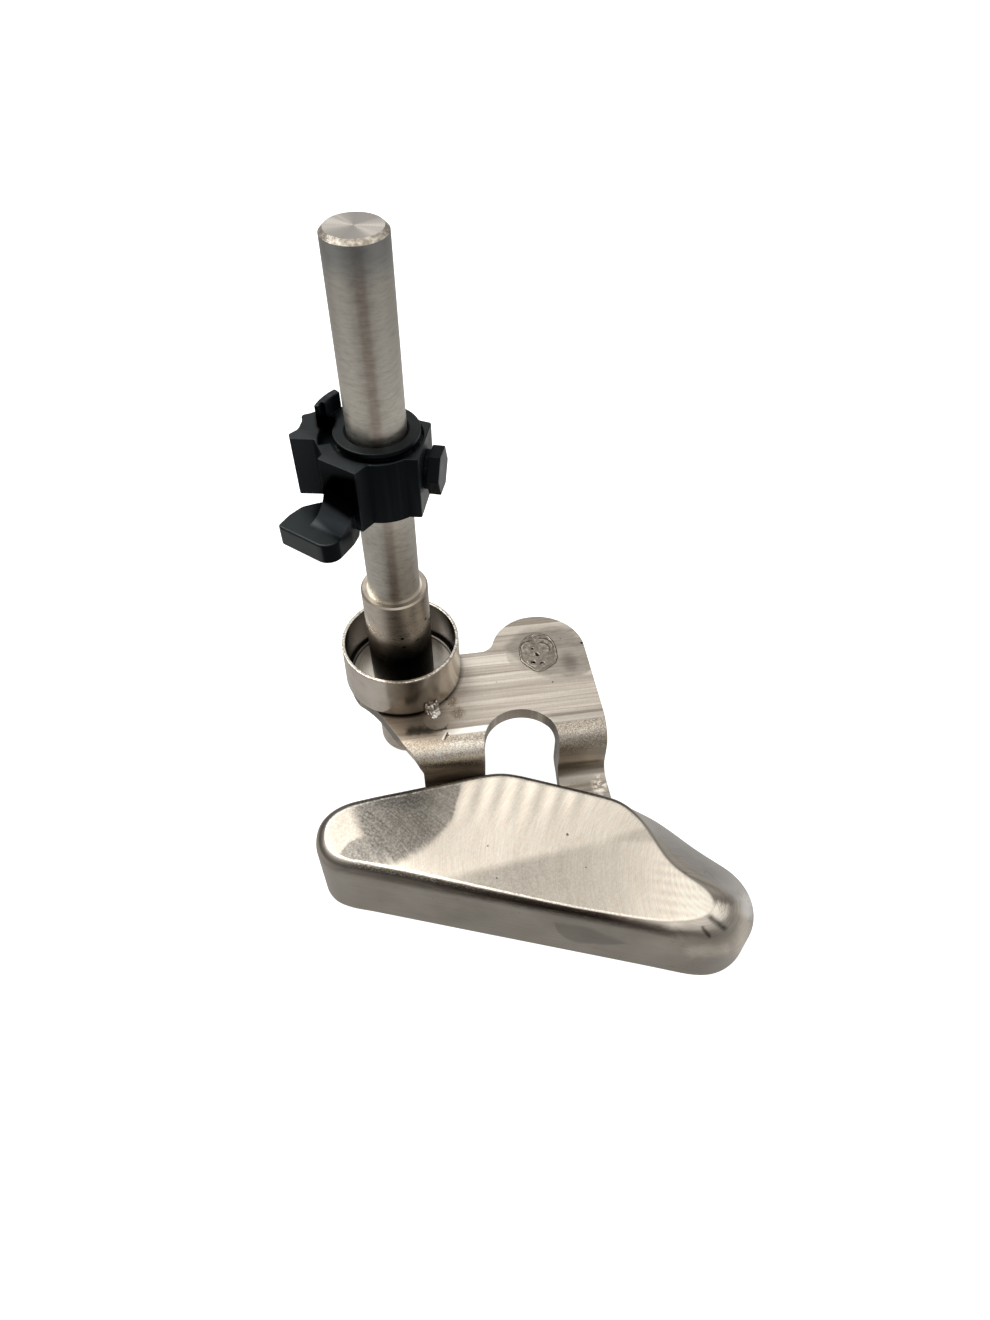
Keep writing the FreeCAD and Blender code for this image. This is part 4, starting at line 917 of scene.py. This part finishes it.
def turned_brass():
    mat = Paint("insert_turned_brass")
    x, y, z = mat.place
    grain = mat.grain(x * 3.0, y * 3.0, z * 3.0)
    mat.base = mat.ramp(grain, (0.3, 176, 140, 78), (0.7, 220, 188, 118))
    return mat.finish(Roughness=grain.linear(0.3, 0.7, 0.24, 0.38),
                      Normal=mat.bump(grain, strength=0.15, distance=0.05))


materials = {
    "foot_block": foot_steel(),
    "cranked_arm": arm_steel(),
    "pivot_hub": hub_steel(),
    "post_rod": post_steel(),
    "drip_cup": cup_steel(),
    "collar_bush": black_plastic("bush_black_plastic", (9, 12, 14),
                                 dust=0.3, rough=0.38, gloss_up=0.24),
    "clamp_body": black_plastic("collar_black_plastic", (6, 9, 12), dust=0.6, rough=0.36),
    "clamp_screw": black_plastic("screw_black_coat", (8, 11, 13),
                                 dust=0.4, rough=0.36, gloss_up=0.09),
}
WELD, PLUG, SPRING, BRASS = weld_steel(), plug_steel(), spring_steel(), turned_brass()
for weld_name in ("cup_tack_weld", "hub_weld_ring", "left_leg_weld", "right_leg_weld"):
    materials[weld_name] = WELD
materials["lobe_plug_weld"] = PLUG
materials["lobe_pin"] = materials["pivot_hub"]
materials["wave_washer"] = materials["bush_retaining_ring"] = SPRING
materials["thread_insert"] = materials["pressure_pad"] = BRASS
for node_name, piece in NODES.items():
    piece.data.materials.clear()
    piece.data.materials.append(materials[node_name])


# ---------------------------------------------------------------- plug weld
# Outline of the bead: x, y
PLUG_EDGE = [
    (40.9, 1.3), (41.3, 4.6), (42.6, 7.2), (44.6, 9.3), (46.9, 10.3), (49.7, 10.4),
    (51.6, 9.7), (53.1, 8.4), (54.2, 5.6), (54.6, 2.3), (54.3, -1.9), (53.1, -4.2),
    (51.2, -5.6), (48.8, -7.0), (46.3, -7.8), (44.4, -6.6), (42.8, -4.4), (41.5, -2.8),
    (40.9, -1.1),
]
# Gas pits: x, y, radius, depth
PLUG_PITS = [
    (46.0, 3.2, 0.34, 0.5), (47.2, 0.1, 0.5, 0.45), (45.1, -3.2, 0.6, 0.75),
    (48.2, -4.0, 0.55, 0.75), (47.0, 0.9, 0.35, 0.4),
]
# Height field: its corner, far corner, grid step and underside
PLUG_START, PLUG_END = (40.4, -8.2), (55.2, 11.4)
PLUG_STEP = 0.16
PLUG_BOTTOM = -1.4


def wander(x, y, z):
    return noise.noise(Vector((x, y, z)))


def hump(distance, width):
    return math.exp(-(distance / width) ** 2)


def share(value):
    return max(0.0, min(1.0, value))


def plug_inside(x, y):
    """Distance to the outline: positive within."""
    nearest, inside = 1e9, False
    for (x0, y0), (x1, y1) in zip(PLUG_EDGE, PLUG_EDGE[1:] + PLUG_EDGE[:1]):
        run, climb = x1 - x0, y1 - y0
        place = share(((x - x0) * run + (y - y0) * climb) / (run * run + climb * climb))
        nearest = min(nearest, math.hypot(x - x0 - place * run, y - y0 - place * climb))
        if (y0 > y) != (y1 > y) and x < x0 + (y - y0) / climb * run:
            inside = not inside
    return nearest if inside else -nearest


def plug_height(x, y):
    """Overlapping puddles with raised lips and gas pits."""
    inset = plug_inside(x, y) + 0.10 * wander(x * 0.6, y * 0.6, 2.0)
    if inset <= 0:
        return -0.25
    height = 0.12 + 0.30 * (1 - math.exp(-inset / 1.3)) + 0.16 * hump(inset - 0.45, 0.32)
    # frozen ripples: each falls off sharply outward and slopes gently inward
    for centre_x, centre_y, edge, start, end, rise in PLUG_RIPPLES:
        radius = math.hypot(x - centre_x, y - centre_y)
        radius += 0.10 * wander(x * 0.8, y * 0.8, edge)
        angle = math.degrees(math.atan2(y - centre_y, x - centre_x))
        middle, half = (start + end) / 2, (end - start) / 2
        off_middle = abs((angle - middle + 180) % 360 - 180)
        inward = edge - radius
        step = 1 / (1 + math.exp(-inward / 0.09)) * math.exp(-max(inward, 0.0) / 1.2)
        height += rise * share((half - off_middle) / 25.0) * step
    for pit_x, pit_y, radius, depth in PLUG_PITS:
        distance = math.hypot(x - pit_x, y - pit_y)
        height -= depth * hump(distance, radius) * 1.2
        height += 0.07 * hump(distance - radius * 1.5, 0.25)
    # the valley where the two puddles meet
    height -= 0.10 * hump(x - 47.3 + 0.12 * (y - 6.0), 0.55) * share((y - 2.5) / 5.0)
    height += 0.02 * wander(x * 1.6, y * 1.6, 3.0)
    return max(height, -1.2)


def plug_bead():
    """Height field closed by side walls and a flat underside."""
    (x0, y0), (x1, y1) = PLUG_START, PLUG_END
    columns = int(round((x1 - x0) / PLUG_STEP)) + 1
    rows = int(round((y1 - y0) / PLUG_STEP)) + 1
    grid = [(x0 + i * PLUG_STEP, y0 + j * PLUG_STEP)
            for j in range(rows) for i in range(columns)]
    verts = [(x * MM, y * MM, plug_height(x, y) * MM) for x, y in grid]
    verts += [(x * MM, y * MM, PLUG_BOTTOM * MM) for x, y in grid]
    below = len(grid)
    cells = [j * columns + i for j in range(rows - 1) for i in range(columns - 1)]
    faces = [(a, a + 1, a + 1 + columns, a + columns) for a in cells]
    faces += [(below + a, below + a + columns, below + a + 1 + columns, below + a + 1)
              for a in cells]
    for i in range(columns - 1):
        faces.append((i, below + i, below + i + 1, i + 1))
        last = (rows - 1) * columns + i
        faces.append((last, last + 1, below + last + 1, below + last))
    for j in range(rows - 1):
        left = j * columns
        faces.append((left, left + columns, below + left + columns, below + left))
        right = left + columns - 1
        faces.append((right, below + right, below + right + columns, right + columns))

    mesh = bpy.data.meshes.new("lobe_plug_weld_bead")
    mesh.from_pydata(verts, [], faces)
    mesh.validate()
    mesh.update()
    bead = bpy.data.objects.new("lobe_plug_weld_bead", mesh)
    scene.collection.objects.link(bead)
    mesh.materials.append(PLUG)
    mesh.polygons.foreach_set("use_smooth", [True] * len(mesh.polygons))
    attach(bead, "foot_and_post")
    return bead


plug = plug_bead()
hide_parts("lobe_plug_weld")


# ---------------------------------------------------------------- tack weld
TACK_ANGLE = math.radians(-68.3)  # about the post axis
# Puddles: distance from the post axis, angle past TACK_ANGLE (radians), z,
# three radii, turn about Z (degrees)
TACK_PUDDLES = [
    (20.3, 0.020, 0.9, (1.6, 1.6, 2.3), -68), (20.0, -0.075, 1.5, (0.8, 0.75, 3.0), -68),
    (21.9, 0.050, 0.2, (2.1, 1.8, 1.2), -66), (21.4, -0.070, 0.1, (1.2, 0.8, 1.1), -72),
    (20.1, 0.110, 1.8, (0.9, 0.75, 2.1), -64), (23.0, 0.010, 0.0, (1.1, 1.9, 0.7), -68),
    (21.3, 0.100, 0.1, (1.5, 1.0, 1.1), -62),
]
TACK_VOXEL = 0.17
TACK_ROUGHNESS = 0.16


def tack_bead():
    """Puddles fused by a remesh, smoothed, then roughened along the normals."""
    shape = bmesh.new()
    for reach, past, z, radii, turn in TACK_PUDDLES:
        angle = TACK_ANGLE + past
        centre = (reach * math.cos(angle) * MM, reach * math.sin(angle) * MM, z * MM)
        matrix = (Matrix.Translation(centre)
                  @ Matrix.Rotation(math.radians(turn), 4, "Z")
                  @ Matrix.Diagonal((*(radius * MM for radius in radii), 1)))
        bmesh.ops.create_icosphere(shape, subdivisions=4, radius=1.0, matrix=matrix)
    mesh = bpy.data.meshes.new("cup_tack_weld_bead")
    shape.to_mesh(mesh)
    shape.free()
    bead = bpy.data.objects.new("cup_tack_weld_bead", mesh)
    scene.collection.objects.link(bead)
    fuse = bead.modifiers.new("fuse", "REMESH")
    fuse.mode = "VOXEL"
    fuse.voxel_size = TACK_VOXEL * MM
    flow = bead.modifiers.new("flow", "SMOOTH")
    flow.factor = 0.5
    flow.iterations = 7
    evaluated = bead.evaluated_get(bpy.context.evaluated_depsgraph_get())
    fused = bpy.data.meshes.new_from_object(evaluated)
    bead.modifiers.clear()
    bead.data = fused
    fused.update()
    normals = [vertex.normal.copy() for vertex in fused.vertices]
    for vertex, normal in zip(fused.vertices, normals):
        vertex.co += normal * (TACK_ROUGHNESS * MM * noise.noise(vertex.co * 1000.0))
    fused.polygons.foreach_set("use_smooth", [True] * len(fused.polygons))
    fused.materials.append(WELD)
    fused.update()
    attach(bead, "foot_and_post")
    return bead


tack = tack_bead()
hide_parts("cup_tack_weld")


# ------------------------------------------------------------- floor, lights
FLOOR_HALF = 6.0
FLOOR_GAP = 0.0003


def floor_paper():
    """Near-white to the eye; reflections see it brighten towards the back."""
    material = bpy.data.materials.new("floor_paper")
    graph = Graph(material)
    paper = graph.out("ShaderNodeBsdfDiffuse", {0: (0.55, 0.55, 0.55)})
    shine = graph.out("ShaderNodeEmission", {0: (1, 1, 1), 1: 0.88})
    seen = graph.out("ShaderNodeAddShader", {0: paper, 1: shine})
    y = graph.split(graph.out("ShaderNodeTexCoord", output="Object"))[1]
    brightness = y.rise(-0.55, -0.08, 0.16, 0.52)
    glow = graph.out("ShaderNodeEmission", {0: (1.0, 0.975, 0.94), 1: brightness})
    glossy = graph.out("ShaderNodeLightPath", output="Is Glossy Ray")
    mixed = graph.out("ShaderNodeMixShader", {0: glossy, 1: seen, 2: glow})
    graph.node("ShaderNodeOutputMaterial", {0: mixed})
    return material


def stage_floor():
    mesh = bpy.data.meshes.new("floor")
    half, z = FLOOR_HALF, SOLE - FLOOR_GAP
    corners = [(-half, -half, z), (half, -half, z), (half, half, z), (-half, half, z)]
    mesh.from_pydata(corners, [], [(0, 1, 2, 3)])
    floor = bpy.data.objects.new("floor", mesh)
    scene.collection.objects.link(floor)
    mesh.materials.append(floor_paper())


def studio_world():
    """White to the camera; a room that brightens upward to everything else."""
    world = bpy.data.worlds.new("studio")
    scene.world = world
    graph = Graph(world)
    z = graph.split(graph.out("ShaderNodeTexCoord", output="Generated"))[2]
    sky = graph.colour_ramp(z, [
        (0.0, (0.30, 0.29, 0.28)), (0.30, (0.42, 0.41, 0.40)), (0.55, (0.66, 0.65, 0.64)),
        (0.74, (0.98, 0.97, 0.95)), (0.90, (1.18, 1.16, 1.12)), (1.0, (1.1, 1.08, 1.05))])
    room = graph.out("ShaderNodeBackground", {0: sky, 1: 0.85})
    white = graph.out("ShaderNodeBackground", {0: (1, 1, 1), 1: 1.0})
    camera_ray = graph.out("ShaderNodeLightPath", output="Is Camera Ray")
    mixed = graph.out("ShaderNodeMixShader", {0: camera_ray, 1: room, 2: white})
    graph.node("ShaderNodeOutputWorld", {0: mixed})


def area_light(name, location, target, size, power, colour):
    light = bpy.data.lights.new(name, "AREA")
    light.energy = power
    light.color = colour
    light.shape = "RECTANGLE"
    light.size = light.size_y = size
    lamp = bpy.data.objects.new(name, light)
    scene.collection.objects.link(lamp)
    lamp.location = location
    aim = Vector(target) - Vector(location)
    lamp.rotation_euler = aim.to_track_quat("-Z", "Y").to_euler()


stage_floor()
studio_world()
area_light("key", location=(-0.35, 0.30, 0.95), target=(0.02, -0.02, 0.03),
           size=0.7, power=7.5, colour=(1.0, 0.985, 0.96))
area_light("front_fill", location=(0.35, -0.75, 0.70), target=(0.02, -0.03, 0.03),
           size=0.9, power=0.9, colour=(0.96, 0.98, 1.0))


# ------------------------------------------------------------------- camera
def add_camera():
    data = bpy.data.cameras.new("camera")
    camera = bpy.data.objects.new("camera", data)
    scene.collection.objects.link(camera)
    scene.camera = camera
    rotation = Matrix((RIGHT, -DOWN, -AHEAD)).transposed()
    camera.matrix_world = Matrix.Translation(EYE * MM) @ rotation.to_4x4()
    data.sensor_fit = "AUTO"
    data.sensor_width = SENSOR
    data.lens = LENS
    data.clip_start = 0.005
    data.clip_end = 30.0


add_camera()
scene.view_settings.view_transform = "Standard"
scene.view_settings.look = "None"
scene.view_settings.exposure = 0.0
scene.view_settings.gamma = 1.0
